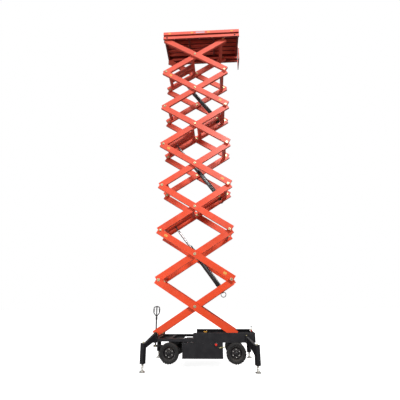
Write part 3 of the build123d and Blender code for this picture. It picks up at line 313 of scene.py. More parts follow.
clouded = maths(plated, "MULTIPLY", cloud, 0.3)
rough = maths(plated, "ADD", plated_in.outputs["Base Roughness"], clouded, clamp=True)
plated.links.new(rough, plated_out.inputs["Roughness"])
plated.links.new(noise(plated, place, 900.0, 2.0), plated_out.inputs["Height"])


# %% A material from a group
def finish(
    name, group, metallic=0.0, bump=0.1, bump_distance=0.0004, principled=None, paint_from=None, **values
):
    """A Principled material that a shared group feeds. paint_from may build its first colour."""
    material = bpy.data.materials.new(name)
    material.use_nodes = True
    tree = material.node_tree
    shader = tree.nodes["Principled BSDF"]
    shader.inputs["Metallic"].default_value = metallic
    for key, value in (principled or {}).items():
        shader.inputs[key].default_value = value
    where = tree.nodes.new("ShaderNodeTexCoord").outputs["Object"]
    effect = add(tree, "ShaderNodeGroup", {"node_tree": group})
    for key, value in values.items():
        effect.inputs[key.replace("_", " ")].default_value = value
    tree.links.new(where, effect.inputs["Vector"])
    if paint_from:
        paint_from(tree, where, effect)
    tree.links.new(effect.outputs["Color"], shader.inputs["Base Color"])
    tree.links.new(effect.outputs["Roughness"], shader.inputs["Roughness"])
    unevenness = add(tree, "ShaderNodeBump", Strength=bump, Distance=bump_distance)
    tree.links.new(effect.outputs["Height"], unevenness.inputs["Height"])
    tree.links.new(unevenness.outputs[0], shader.inputs["Normal"])
    return material


# %% [markdown]
# ## The paints
# The arms are orange-red enamel with a thin coat of gloss. High up the same paint is made
# paler, a painted lightening for the stronger light on the upper stages, so its colour is led
# by height. The deck frame has the same orange on its sides and a dark red painted shade on
# the faces that look down, chosen by which way a face looks. The chassis, legs and wheels are
# charcoal powder coat.


# %% Orange enamel with painted light, and the deck's paint with a painted shade below
# Paints the arms paler with height: a painted lightening that stands for the stronger light on the upper stages.
def painted_light_with_height(tree, where, effect):
    parts = add(tree, "ShaderNodeSeparateXYZ")
    tree.links.new(where, parts.inputs[0])
    high = spread(tree, parts.outputs["Z"], 1.0, 8.0)
    colour = blend_colour(tree, high, (0.84, 0.066, 0.010, 1), (0.74, 0.112, 0.070, 1))
    tree.links.new(colour, effect.inputs["Paint"])


# Paints the faces that look down a dark red: a painted shade under the deck, where its frame is in shadow.
def painted_shade_below(tree, where, effect):
    facing = add(tree, "ShaderNodeNewGeometry")
    parts = add(tree, "ShaderNodeSeparateXYZ")
    tree.links.new(facing.outputs["True Normal"], parts.inputs[0])
    down = spread(tree, parts.outputs["Z"], -0.4, -0.8)
    colour = blend_colour(tree, down, (0.78, 0.125, 0.085, 1), (0.17, 0.022, 0.014, 1))
    tree.links.new(colour, effect.inputs["Paint"])


ENAMEL_COAT = {"Coat Weight": 0.3, "Coat Roughness": 0.15}
DUSTY = (0.42, 0.36, 0.30, 1)
# The lighter, pinker Edge colour here is a painted highlight along the arms' edges as well as worn paint.
lift_paint = finish(
    "orange_enamel", painted, bump=0.05, principled=ENAMEL_COAT, paint_from=painted_light_with_height,
    Edge=(0.80, 0.25, 0.16, 1), Dust=DUSTY, Wear=0.5, Dust_Amount=0.2, Gloss_Roughness=0.36,
)
platform_paint = finish(
    "deck_enamel", painted, bump=0.05, principled=ENAMEL_COAT, paint_from=painted_shade_below,
    Edge=(0.60, 0.20, 0.13, 1), Dust=DUSTY, Wear=0.5, Dust_Amount=0.35, Gloss_Roughness=0.42,
)
print("enamels", lift_paint.name, platform_paint.name)

# %% Charcoal powder coat, black enamel, grey casting paint
# The pale Edge colour on this near-black paint is partly worn edges and partly a painted highlight along the rail
# and box edges.
chassis_paint = finish(
    "charcoal_powder_coat", painted, bump=0.2,
    Paint=(0.0095, 0.0090, 0.0120, 1), Edge=(0.17, 0.165, 0.17, 1), Dust=(0.15, 0.135, 0.12, 1),
    Wear=0.7, Dust_Amount=0.3, Gloss_Roughness=0.40,
)
cylinder_paint = finish(
    "black_enamel", painted, bump=0.01, principled={"Coat Weight": 0.4, "Coat Roughness": 0.12},
    Paint=(0.008, 0.009, 0.011, 1), Edge=(0.05, 0.05, 0.05, 1), Dust=(0.10, 0.09, 0.08, 1),
    Wear=0.3, Dust_Amount=0.12, Gloss_Roughness=0.32,
)
rim_paint = finish(
    "rim_enamel", painted,
    Paint=(0.022, 0.020, 0.022, 1), Edge=(0.22, 0.20, 0.18, 1), Dust=(0.20, 0.17, 0.13, 1),
    Wear=0.8, Dust_Amount=0.5, Gloss_Roughness=0.45,
)
unit_paint = finish(
    "grey_casting_paint", painted,
    Paint=(0.20, 0.22, 0.24, 1), Edge=(0.45, 0.45, 0.45, 1), Dust=DUSTY,
    Wear=0.6, Dust_Amount=0.6, Gloss_Roughness=0.5,
)

# %% [markdown]
# ## Metals
# The pins are zinc plated and passivated, which leaves a pale yellow-green cast. The
# jack screws and feet are plain zinc. The piston rods are ground and chromed.

# %% Metals
zinc_yellow = finish(
    "yellow_zinc", plated, metallic=1.0,
    Metal=(0.66, 0.60, 0.33, 1), Tarnish=(0.42, 0.40, 0.20, 1), Tarnish_Amount=0.6, Base_Roughness=0.32,
)
zinc_plain = finish(
    "bright_zinc", plated, metallic=1.0,
    Metal=(0.74, 0.73, 0.69, 1), Tarnish=(0.50, 0.48, 0.43, 1), Tarnish_Amount=0.6, Base_Roughness=0.45,
)
rod_chrome = finish(
    "rod_chrome", plated, metallic=1.0, bump=0.003,
    Metal=(0.34, 0.31, 0.31, 1), Tarnish=(0.22, 0.20, 0.20, 1), Tarnish_Amount=0.3, Base_Roughness=0.26,
)
brass = finish(
    "fitting_brass", plated, metallic=1.0,
    Metal=(0.72, 0.48, 0.18, 1), Tarnish=(0.35, 0.22, 0.10, 1), Tarnish_Amount=0.6, Base_Roughness=0.3,
)

# %% [markdown]
# ## Rubber, plastic and stickers
# Tyre rubber is nearly black, dull, and carries pale dust in its tread. The hoses are
# smoother. The stickers are blank coloured film with faint scuffs.

# %% Rubber, plastic and film
tyre_rubber = finish(
    "tyre_rubber", painted, bump=0.5, bump_distance=0.0008,
    Paint=(0.009, 0.0085, 0.0085, 1), Edge=(0.045, 0.037, 0.032, 1), Dust=(0.13, 0.10, 0.08, 1),
    Wear=0.8, Dust_Amount=0.5, Gloss_Roughness=0.7,
)
hose_rubber = finish(
    "hose_rubber", painted, bump=0.3,
    Paint=(0.013, 0.013, 0.014, 1), Edge=(0.03, 0.03, 0.03, 1), Dust=(0.16, 0.14, 0.12, 1),
    Wear=0.3, Dust_Amount=0.4, Gloss_Roughness=0.55,
)
button_red = finish(
    "button_red", painted, principled={"Coat Weight": 0.6, "Coat Roughness": 0.1},
    Paint=(0.80, 0.035, 0.02, 1), Edge=(0.6, 0.05, 0.04, 1), Dust=DUSTY,
    Wear=0.3, Dust_Amount=0.2, Gloss_Roughness=0.25,
)
film_yellow = finish(
    "yellow_film", painted, bump=0.05,
    Paint=(0.78, 0.36, 0.08, 1), Edge=(0.7, 0.4, 0.15, 1), Dust=DUSTY,
    Wear=0.5, Dust_Amount=0.1, Gloss_Roughness=0.4,
)
film_white = finish(
    "white_film", painted, bump=0.05,
    Paint=(0.60, 0.42, 0.48, 1), Edge=(0.6, 0.5, 0.5, 1), Dust=DUSTY,
    Wear=0.5, Dust_Amount=0.1, Gloss_Roughness=0.4,
)
lamp_amber = finish(
    "amber_lens", painted, principled={"Coat Weight": 0.8, "Coat Roughness": 0.05},
    Paint=(0.85, 0.43, 0.05, 1), Edge=(0.9, 0.5, 0.2, 1), Dust=DUSTY,
    Wear=0.2, Dust_Amount=0.1, Gloss_Roughness=0.15,
)

# %% [markdown]
# ## Finishes on the loaded nodes
# Each loaded node keeps its shape and takes the material of its slot. The record says which
# slot a node belongs to, so one table serves them all.

# %% Finish of every node
SLOT_FINISH = {
    "lift_paint": lift_paint,
    "platform_paint": platform_paint,
    "chassis_paint": chassis_paint,
    "zinc": zinc_yellow,
    "cylinder_black": cylinder_paint,
    "rod_chrome": rod_chrome,
    "hose_rubber": hose_rubber,
    "tyre_rubber": tyre_rubber,
    "rim_paint": rim_paint,
    "button_red": button_red,
    "unit_grey": unit_paint,
    "jack_steel": zinc_plain,
}
OWN_SLOT = {material.name: slot for slot, material in SLOT_FINISH.items()}
OWN_SLOT[brass.name] = "zinc"
for part in frame["record"]["subparts"]:
    mesh = nodes[part["node"]].data
    mesh.materials.clear()
    mesh.materials.append(SLOT_FINISH[part["material_slot"]])

# %% [markdown]
# ## Shapes to build with
# Small parts are made from three beginnings: a block with rounded edges, a turned shape
# spun from its outline, and a bent tube. A finished piece gets its faces turned outwards,
# smooth shading with sharp corners kept, a material and a body to ride on.


# %% Helpers for shapes
UP = (0, 0, 1)


def aimed(place, axis):
    """A matrix that stands things at a place, with their Z along an axis."""
    return Matrix.Translation(place) @ Vector(axis).to_track_quat("Z", "X").to_matrix().to_4x4()


def bevel(shape, edges, offset, segments=2):
    bmesh.ops.bevel(
        shape, geom=edges, offset=offset, offset_type="OFFSET", segments=segments, profile=0.5,
        affect="EDGES", material=-1,
    )


def block(shape, centre, size, edge=0.002, turn=None):
    """A rounded block. turn is a matrix that turns it about its centre."""
    placed = Matrix.Translation(centre) @ (turn or Matrix.Identity(4)) @ Matrix.Diagonal((*size, 1))
    made = bmesh.ops.create_cube(shape, size=1.0, matrix=placed)["verts"]
    if edge:
        bevel(shape, list({e for v in made for e in v.link_edges}), edge)


def turned(shape, outline, centre, axis, steps=32):
    """A turned shape: outline is a list of (radius, distance along the axis)."""
    corners = [shape.verts.new((radius, 0, along)) for radius, along in outline]
    sides = [shape.edges.new(pair) for pair in zip(corners, corners[1:])]
    spun = bmesh.ops.spin(
        shape, geom=corners + sides, cent=(0, 0, 0), axis=UP, dvec=(0, 0, 0),
        angle=math.tau, steps=steps, use_merge=True, use_duplicate=False,
    )
    seen = set(corners) | {g for g in spun["geom_last"] if isinstance(g, bmesh.types.BMVert)}
    todo = list(seen)
    while todo:
        for edge in todo.pop().link_edges:
            for vert in edge.verts:
                if vert not in seen:
                    seen.add(vert)
                    todo.append(vert)
    made = [v for v in seen if v.is_valid]
    bmesh.ops.transform(shape, matrix=aimed(centre, axis), verts=made)
    return made


def rod_outline(radius, low, high, edge=0.002):
    """Outline of a plain round bar with chamfered ends."""
    side = [(radius, low + edge), (radius, high - edge)]
    return [(0, low), (radius - edge, low)] + side + [(radius - edge, high), (0, high)]


def ring_outline(bore, radius, low, high):
    """Outline of a plain ring."""
    return [(bore, low), (radius, low), (radius, high), (bore, high), (bore, low)]


def nut(shape, centre, axis, across=0.019, height=0.011):
    """A hexagon nut on its stud."""
    made = bmesh.ops.create_cone(
        shape, cap_ends=True, segments=6, radius1=across / math.sqrt(3), radius2=across / math.sqrt(3),
        depth=height, matrix=aimed(centre, axis) @ Matrix.Translation((0, 0, height / 2)),
    )["verts"]
    faces = {face for vert in made for face in vert.link_faces}
    top = max(faces, key=lambda face: (face.calc_center_median() - Vector(centre)).dot(Vector(axis)))
    bevel(shape, list(top.edges), across * 0.08)
    turned(shape, rod_outline(across * 0.32, 0, height * 1.5, 0.001), centre, axis, 12)


def piece(name, shape, material, body, smooth=35.0):
    """Makes a shape an object on a body, with its material."""
    bmesh.ops.remove_doubles(shape, verts=shape.verts, dist=1e-6)
    bmesh.ops.recalc_face_normals(shape, faces=shape.faces)
    mesh = bpy.data.meshes.new(name)
    shape.to_mesh(mesh)
    shape.free()
    mesh.materials.append(material)
    mesh.shade_smooth()
    mesh.set_sharp_from_angle(angle=math.radians(smooth))
    made = bpy.data.objects.new(name, mesh)
    scene.collection.objects.link(made)
    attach(made, body)
    return made


def bent_tube(name, points, radius, material, body):
    """A tube along smooth points, made a mesh."""
    curve = bpy.data.curves.new(name, "CURVE")
    curve.dimensions = "3D"
    curve.bevel_depth = radius
    curve.bevel_resolution = 5
    curve.use_fill_caps = True
    spline = curve.splines.new("NURBS")
    spline.points.add(len(points) - 1)
    for point, where in zip(spline.points, points):
        point.co = (*where, 1)
    spline.order_u = 3
    spline.use_endpoint_u = True
    spline.resolution_u = 8
    guide = bpy.data.objects.new(name + "_guide", curve)
    mesh = bpy.data.meshes.new_from_object(guide)
    bpy.data.objects.remove(guide)
    shape = bmesh.new()
    shape.from_mesh(mesh)
    bpy.data.meshes.remove(mesh)
    return piece(name, shape, material, body)


# %% [markdown]
# ## Tyres
# The real tyres are solid rubber with a chunky tread. The carcass is spun from its
# section; then blocks of the tread are picked out face by face, inset and pushed out to
# the full radius, in two rows that are half a block out of step.

# %% Tyres
TREAD_STEPS = 48
TREAD_DEPTH = 0.007
TYRE_SECTION = [
    (0.128, 0.040), (0.136, 0.046), (0.150, 0.049), (0.153, 0.0475), (0.156, 0.049), (0.176, 0.048),
    (0.184, 0.042), (0.188, 0.034), (0.188, 0.014), (0.188, 0.010),
]
TYRE_SECTION += [(radius, -along) for radius, along in reversed(TYRE_SECTION)]
TREAD_FROM, TREAD_GROOVE = 0.186, 0.011
CORNERS = ("front_left", "back_left", "front_right", "back_right")
WHEELS = {name: joints["wheel_spin_" + name] for name in CORNERS}
for name, joint in WHEELS.items():
    hub = Vector(joint["pos_m"])
    shape = bmesh.new()
    turned(shape, TYRE_SECTION + TYRE_SECTION[:1], hub, (0, 1, 0), TREAD_STEPS)
    blocks = []
    for face in shape.faces:
        middle = face.calc_center_median() - hub
        if math.hypot(middle.x, middle.z) < TREAD_FROM or abs(middle.y) < TREAD_GROOVE:
            continue
        step = math.atan2(middle.z, middle.x) / math.tau * TREAD_STEPS + (0.5 if middle.y > 0 else -0.5)
        if math.floor(step) % 2 == 0:
            blocks.append(face)
    bmesh.ops.inset_individual(shape, faces=blocks, thickness=0.0015, use_even_offset=True)
    raised = bmesh.ops.extrude_discrete_faces(shape, faces=blocks)["faces"]
    for vert in {v for face in raised for v in face.verts}:
        out = Vector((vert.co.x - hub.x, 0, vert.co.z - hub.z)).normalized()
        vert.co += out * (TREAD_DEPTH - 0.0002)
    tyre = piece("tyre_tread_" + name, shape, tyre_rubber, "wheel_" + name, smooth=28)
    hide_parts("tyre_" + name)
print("tread blocks on one tyre", len(blocks))

# %% [markdown]
# ## Wheel discs
# Each rim is a pressed disc: a rolled lip, a well, a dished face with a raised ring for
# the studs and a bearing cap. The outline is spun once for each wheel. Six zinc nuts sit
# on the stud circle.

# %% Wheel discs, caps and nuts
STUD_CIRCLE = 0.070
STUDS = 6
RIM_OUTLINE = [
    (0.0205, -0.030), (0.044, -0.030), (0.044, 0.012), (0.050, 0.014), (0.060, 0.006), (0.084, 0.006),
    (0.094, -0.004), (0.106, -0.010), (0.112, 0.004), (0.114, 0.032), (0.119, 0.040), (0.1265, 0.042),
    (0.1278, 0.039), (0.1278, -0.039), (0.1265, -0.042), (0.119, -0.040), (0.114, -0.034),
    (0.108, -0.020), (0.092, -0.014), (0.060, -0.006), (0.0205, -0.004),
]
BEARING_CAP = [(0.030, 0.011), (0.036, 0.011), (0.037, 0.020), (0.033, 0.032), (0.020, 0.038), (0, 0.040)]
for name, joint in WHEELS.items():
    hub = Vector(joint["pos_m"])
    side = 1 if hub.y > 0 else -1
    outward = Vector((0, side, 0))
    shape = bmesh.new()
    turned(shape, RIM_OUTLINE + RIM_OUTLINE[:1], hub, outward, 48)
    rim = piece("wheel_disc_" + name, shape, rim_paint, "wheel_" + name)
    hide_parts("rim_" + name)
    shape = bmesh.new()
    for stud in range(STUDS):
        around = math.tau * (stud + 0.5) / STUDS
        spot = STUD_CIRCLE * Vector((math.cos(around), 0, math.sin(around)))
        nut(shape, hub + spot + outward * 0.006, outward)
    piece("wheel_nuts_" + name, shape, zinc_plain, "wheel_" + name)
    shape = bmesh.new()
    turned(shape, BEARING_CAP, hub + outward * 0.002, outward)
    piece("bearing_cap_" + name, shape, rim_paint, "wheel_" + name)
print("wheel discs", len(WHEELS))

# %% [markdown]
# ## Screw jacks
# A jack is a threaded zinc bar with a round foot on a ball joint. The thread is a stack of
# rings, which reads as a thread from any distance and closes cleanly where the bar
# enters the leg.

# %% Screw jacks
THREAD_PITCH = 0.009
THREAD_ROOT, THREAD_CREST = 0.0190, 0.0217
DRIVE_LENGTH = 0.016
FOOT_OUTLINE = [
    (0, 0), (0.052, 0), (0.060, 0.004), (0.060, 0.012), (0.052, 0.017), (0.030, 0.023), (0.030, 0.036),
    (0.0195, 0.037),
]
JACKS = {name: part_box("outrigger_jack_" + name) for name in WHEELS}
for name, (low, high) in JACKS.items():
    centre = Vector(((low.x + high.x) / 2, (low.y + high.y) / 2, 0))
    outline = list(FOOT_OUTLINE)
    z = 0.040
    top = high.z - DRIVE_LENGTH
    while z < top:
        crest = [(THREAD_CREST, z + THREAD_PITCH * share) for share in (0.35, 0.55)]
        outline += [(THREAD_ROOT, z)] + crest
        z += THREAD_PITCH
    outline += [(THREAD_ROOT, top + 0.001), (0.015, top + 0.002)]
    outline += [(0.015, high.z - 0.001), (0.013, high.z), (0, high.z)]
    shape = bmesh.new()
    turned(shape, outline, centre, UP, 28)
    jack = piece("jack_screw_" + name, shape, zinc_plain, "jack_" + name, smooth=40)
    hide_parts("outrigger_jack_" + name)
    shape = bmesh.new()
    nut(shape, (centre.x, centre.y, top), UP, across=0.030, height=0.014)
    piece("jack_drive_" + name, shape, zinc_yellow, "jack_" + name)
print("jacks", len(JACKS))

# %% [markdown]
# ## Leg details
# The leg tubes have a collar where the screw comes out and weld beads where the gusset
# meets the tube. A zinc head tops the pin that each leg swings on.


# %% Weld beads
def weld(name, loops, radius, material, body):
    """Beads along straight runs, each run a turned shape whose radius ripples."""
    shape = bmesh.new()
    waist = radius * 0.72
    for start, end in loops:
        along = Vector(end) - Vector(start)
        beads = max(2, int(along.length / (radius * 1.6)))
        step = along.length / beads
        outline = [(0, 0)]
        for number in range(beads):
            low = along.length * number / beads
            outline += [(waist, low + step * 0.05), (radius, low + step * 0.5), (waist, low + step * 0.95)]
        outline += [(0, along.length)]
        turned(shape, outline, Vector(start), along.normalized(), 8)
    return piece(name, shape, material, body)


# %% Leg collars and pins
LEG_TUBE = 0.040
GUSSET_HALF = 0.0255
LEG_ENDS = {"left": (0.145, 0.657), "right": (0.125, 0.603)}
GUSSETS = {"left": (0.404, 0.494), "right": (0.270, 0.458)}
PIN_HEAD = [(0, 0.001), (0.017, 0.001), (0.018, 0.003), (0.018, 0.009), (0.015, 0.012), (0, 0.012)]
for name, (low, high) in JACKS.items():
    end = name.split("_")[1]
    centre = Vector(((low.x + high.x) / 2, (low.y + high.y) / 2, 0))
    leg_bottom, head_z = LEG_ENDS[end]
    pivot = Vector(joints["leg_swing_" + name]["pos_m"])
    out = (centre - Vector((pivot.x, pivot.y, 0))).normalized()
    across = Vector((-out.y, out.x, 0))
    shape = bmesh.new()
    for z, grow, bore in ((high.z - 0.020, 0.004, 0.0226), (leg_bottom, -0.004, 0.0315)):
        turned(shape, ring_outline(bore, 0.037, 0, grow), centre + Vector((0, 0, z)), UP)
    piece("leg_collars_" + name, shape, zinc_plain, "leg_" + name)
    runs = []
    face = centre - out * (LEG_TUBE + 0.0005)
    for sign in (-1, 1):
        spot = face + across * sign * GUSSET_HALF
        runs.append(tuple(spot + Vector((0, 0, z)) for z in GUSSETS[end]))
    weld("leg_welds_" + name, runs, 0.0035, chassis_paint, "leg_" + name)
    shape = bmesh.new()
    turned(shape, PIN_HEAD, (pivot.x, pivot.y, head_z - 0.002), UP, 24)
    piece("leg_pin_head_" + name, shape, zinc_yellow, "leg_" + name)
print("leg details", len(WHEELS))

# %% [markdown]
# ## Pin ends
# Every pivot pin shows a round head with a grease nipple in its middle and a thin bright
# ring at its rim. The heads turn with the inner frames, because the pins are fixed in them.

# %% Grease nipples and rings on the pins
ARM_FACE = 0.440
HEAD_FACE = 0.451
STAGES = 7
NIPPLE = [
    (0, 0), (0.010, 0), (0.010, 0.002), (0.006, 0.003), (0.006, 0.006), (0.0035, 0.007), (0.0045, 0.009),
    (0.0035, 0.011), (0, 0.011),
]
lift_low = Vector(joints["lift"]["pos_m"])
lift_top = Vector(joints["platform_level"]["pos_m"])
roller = Vector(joints["platform_roller_spin"]["pos_m"])
stage_rise = (lift_top.z - lift_low.z) / STAGES
run = roller.x - lift_low.x
for stage in range(1, STAGES + 1):
    low = Vector((lift_low.x, 0, lift_low.z + (stage - 1) * stage_rise))
    spots = [low, low + Vector((run / 2, 0, stage_rise / 2)), low + Vector((run, 0, stage_rise))]
    if stage == STAGES:
        spots = spots[:2]
    heads = [(spot + Vector((0, side * HEAD_FACE, 0)), (0, side, 0)) for spot in spots for side in (-1, 1)]
    shape = bmesh.new()
    for face, outward in heads:
        turned(shape, NIPPLE, face, outward, 16)
    piece(f"grease_nipples_{stage}", shape, brass, f"inner_{stage}")
    shape = bmesh.new()
    for face, outward in heads:
        turned(shape, ring_outline(0.026, 0.029, 0, 0.0015), face, outward)
    piece(f"pin_rings_{stage}", shape, zinc_plain, f"inner_{stage}")
print("pin ends", STAGES * 6 - 2)

# %% [markdown]
# ## Stickers
# Small blank stickers of yellow film mark the pinch points near both ends of every second
# outer arm, and the deck's skirt. They are plates 0.4 mm thick with rounded corners.


# %% Sticker helper and arm stickers
def sticker(shape, centre, length, height, angle, side, thickness=0.0004):
    """A plate in the XZ plane, turned by an angle, on the face that looks to one side."""
    turn = Matrix.Rotation(-angle, 4, "Y")
    spot = Vector(centre) + Vector((0, side * thickness / 2, 0))
    before = set(shape.faces)
    block(shape, spot, (length, thickness, height), edge=0, turn=turn)
    made = [f for f in shape.faces if f not in before]
    edges = {edge for face in made for edge in face.edges}
    uprights = [e for e in edges if abs((e.verts[0].co - e.verts[1].co).y) > thickness * 0.9]
    bevel(shape, uprights, 0.006, segments=3)


ARM = 1.900
PIN_OFFSET = 0.038
rise_angle = math.atan2(stage_rise, run)
tube_angle = rise_angle - math.asin(PIN_OFFSET / (ARM / 2))
STICKER_REACH = 0.77
for stage in range(2, STAGES + 1, 2):
    centre = Vector(joints[f"crossing_{stage}"]["pos_m"])
    along = Vector((math.cos(tube_angle), 0, -math.sin(tube_angle)))
    shape = bmesh.new()
    for side in (-1, 1):
        for end in (-1, 1):
            spot = centre + Vector((0, side * ARM_FACE, 0)) + along * end * STICKER_REACH
            sticker(shape, spot, 0.080, 0.052, -tube_angle, side)
    piece(f"arm_stickers_{stage}", shape, film_yellow, f"outer_{stage}")

# %% Stickers along the skirt
deck_low, deck_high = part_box("platform_frame")
SKIRT_FACE = 0.500
skirt_middle = deck_high.z - 0.048
shape = bmesh.new()
for x in (-0.828, -0.204, 0.257, 0.900):
    for side in (-1, 1):
        sticker(shape, (x, side * SKIRT_FACE, skirt_middle), 0.070, 0.045, 0, side)
piece("skirt_stickers", shape, film_yellow, "platform")
shape = bmesh.new()
for side in (-1, 1):
    sticker(shape, (0.026, side * SKIRT_FACE, skirt_middle), 0.250, 0.050, 0, side)
piece("skirt_plate", shape, film_white, "platform")
print("deck spans", tuple(round(v, 3) for v in deck_low), tuple(round(v, 3) for v in deck_high))

# %% [markdown]
# ## The deck
# The top of the deck is tread plate: rows of raised lozenges, each turned across its
# neighbour. One lozenge is a flat block with its top pulled in, and the rest are copies
# of it, so the pattern is real relief. Below, bolts hold the channels to their spacers.

# %% Tread plate
LOZENGE = (0.030, 0.008, 0.0012)
TREAD_PITCH = 0.042
shape = bmesh.new()
first = bmesh.ops.create_cube(shape, size=1.0, matrix=Matrix.Diagonal((*LOZENGE, 1)))["verts"]
for vert in first:
    if vert.co.z > 0:
        vert.co.x *= 0.72
        vert.co.y *= 0.55
tread_source = bpy.data.meshes.new("tread_source")
shape.to_mesh(tread_source)
shape.free()
shape = bmesh.new()
DECK_LEFT, DECK_RIGHT = -1.0025, 1.0975
BARE_EDGES = 0.05
columns = int((DECK_RIGHT - DECK_LEFT - BARE_EDGES) / TREAD_PITCH)
rows = int((2 * SKIRT_FACE - BARE_EDGES) / TREAD_PITCH)
deck_middle = (DECK_LEFT + DECK_RIGHT) / 2
for column in range(columns):
    for row in range(rows):
        x = deck_middle + (column - (columns - 1) / 2) * TREAD_PITCH
        y = (row - (rows - 1) / 2) * TREAD_PITCH
        quarter = math.radians(45 if (column + row) % 2 else -45)
        before = len(shape.verts)
        shape.from_mesh(tread_source)
        shape.verts.ensure_lookup_table()
        placed = Matrix.Translation((x, y, deck_high.z + LOZENGE[2] / 2))
        placed = placed @ Matrix.Rotation(quarter, 4, "Z")
        bmesh.ops.transform(shape, matrix=placed, verts=shape.verts[before:])
piece("deck_tread", shape, platform_paint, "platform", smooth=20)
print("lozenges", columns * rows)

# %% Bolts, pin ends and welds of the deck frame
CHANNEL_FACE = 0.498
CHANNEL_MIDDLE = 0.474
CHANNEL_HALF = 0.040
shape = bmesh.new()
for side in (-1, 1):
    for x in (lift_low.x, 0.977):
        face = Vector((x, side * CHANNEL_FACE, lift_top.z))
        cap = [(0, 0), (0.026, 0), (0.026, 0.001), (0.022, 0.0018), (0, 0.0018)]
        turned(shape, cap, face, (0, side, 0))
piece("channel_pin_ends", shape, cylinder_paint, "platform")
shape = bmesh.new()
for side in (-1, 1):
    for x in (-0.70, -0.35, 0.0, 0.35, 0.70, 1.05):
        spot = Vector((x, side * CHANNEL_MIDDLE, lift_top.z - CHANNEL_HALF))
        nut(shape, spot, (0, 0, -1), across=0.014, height=0.006)
piece("channel_bolts", shape, zinc_plain, "platform")
runs = []
for side in (-1, 1):
    y = side * 0.4505
    z = lift_top.z + CHANNEL_HALF + 0.0005
    runs += [((x, y, z), (x + 0.06, y, z)) for x in (-0.97, -0.6, -0.2, 0.2, 0.6, 1.0)]
weld("spacer_welds", runs, 0.003, platform_paint, "platform")

# %% [markdown]
# ## Boarding ladder
# Rubber sleeves on the rungs give grip, and a zinc cap closes one end of its hinge pin.

# %% Ladder sleeves and caps
ladder_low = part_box("boarding_ladder")[0]
ladder_x = joints["ladder_swing"]["pos_m"][0]
pin_z = joints["ladder_swing"]["pos_m"][2]
shape = bmesh.new()
for z in (ladder_low.z + 0.122, ladder_low.z + 0.022):
    for number in range(9):
        spot = (ladder_x, 0.075 + number * 0.045, z + 0.0005)
        block(shape, spot, (0.016, 0.030, 0.003), edge=0.001)
piece("ladder_grips", shape, hose_rubber, "ladder")
shape = bmesh.new()
cap = [(0, 0), (0.011, 0), (0.012, 0.001), (0.012, 0.004), (0, 0.005)]
turned(shape, cap, (ladder_x, 0.0095, pin_z), (0, -1, 0), 24)
piece("ladder_pin_cap", shape, zinc_plain, "ladder")

# %% [markdown]
# ## Hydraulic cylinders
# A cylinder shows a gland nut with spanner flats at its mouth, a wiper ring round the
# rod, a hard pipe strapped along the barrel and a crimped fitting at each end of the hose.

# %% Gland rings, pipes and hose fittings
BARREL = 1.213
WIPER = [
    (0.0224, 0), (0.034, 0), (0.036, 0.002), (0.036, 0.010), (0.033, 0.013), (0.0235, 0.015), (0.0224, 0),
]
SLEEVE = [
    (0.0075, -0.012), (0.0105, -0.012), (0.0112, -0.010), (0.0112, 0.010), (0.0095, 0.012), (0.0075, 0.012),
    (0.0075, -0.012),
]
LOOP_ANGLE = math.radians(166.0)
LOOP_DISTANCE = 0.100
LOOP_RADIUS = 0.055
for number in (1, 2, 3):
    eye = Vector(joints[f"barrel_swing_{number}"]["pos_m"])
    along = Vector(joints[f"rod_stroke_{number}"]["axis"]).normalized()
    body = f"barrel_{number}"
    square = along.cross(Vector((0, 1, 0))).normalized()
    shape = bmesh.new()
    turned(shape, WIPER, eye + along * BARREL, along, 40)
    piece(f"wiper_ring_{number}", shape, zinc_plain, body)
    shape = bmesh.new()
    for distance in (0.16, 0.60, 1.05):
        turned(shape, ring_outline(0.0452, 0.0475, -0.012, 0.012), eye + along * distance, along, 40)
    piece(f"barrel_bands_{number}", shape, cylinder_paint, body)
    start = eye + along * 0.10 - square * 0.054
    points = [start + square * 0.010 - along * 0.02, start, start + along * 0.05]
    points += [start + along * d for d in (0.4, 0.7, 0.98)]
    points += [start + along * 1.02 + square * 0.002, start + along * 1.035 + square * 0.012]
    bent_tube(f"hard_pipe_{number}", points, 0.006, cylinder_paint, body)
    beside = Vector((0, -1, 0)).cross(along).normalized()
    centre = eye + (along * math.cos(LOOP_ANGLE) + beside * math.sin(LOOP_ANGLE)) * LOOP_DISTANCE
    shape = bmesh.new()
    toward = (eye - centre).normalized()
    sideways = Vector((0, 1, 0)).cross(toward).normalized()
    for sign in (-1, 1):
        swing = sign * 0.50
        spot = centre + (toward * math.cos(swing) + sideways * math.sin(swing)) * LOOP_RADIUS
        direction = (-toward * math.sin(swing) + sideways * math.cos(swing)) * sign
        turned(shape, SLEEVE, spot, direction, 20)
    piece(f"hose_sleeves_{number}", shape, zinc_yellow, body)
print("cylinders", 3)

# %% [markdown]
# ## Power box
# The box between the wheels is plain folded sheet. It has folded edges, a toggle latch
# at its right end, round-headed screws, and a black collar round the red button.

# %% Power box details
box_low, box_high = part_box("power_box")
BOX_FACE = 0.526
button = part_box("estop_button")
button_centre = (button[0] + button[1]) / 2
shape = bmesh.new()
bore = (button[1].z - button[0].z) / 2 + 0.001
collar = [(bore, 0), (0.034, 0), (0.034, 0.002), (0.031, 0.0035), (bore, 0.0035), (bore, 0)]
turned(shape, collar, (button_centre.x, -BOX_FACE - 0.008, button_centre.z), (0, -1, 0), 40)
piece("button_collar", shape, cylinder_paint, "chassis")
shape = bmesh.new()
box_middle = (box_low + box_high) / 2
box_size = box_high - box_low
FOLD, FOLD_THICK, FOLD_SHORT = 0.012, 0.003, 0.004
for side in (-1, 1):
    face = side * (BOX_FACE + FOLD_THICK / 2)
    size = (box_size.x - FOLD_SHORT, FOLD_THICK, FOLD)
    block(shape, (box_middle.x, face, box_low.z + FOLD / 2), size, edge=0.001)
    for x in (box_low.x + FOLD / 2, box_high.x - FOLD / 2):
        block(shape, (x, face, box_middle.z), (FOLD, FOLD_THICK, box_size.z - FOLD_SHORT), edge=0.001)
piece("box_edge_folds", shape, chassis_paint, "chassis")
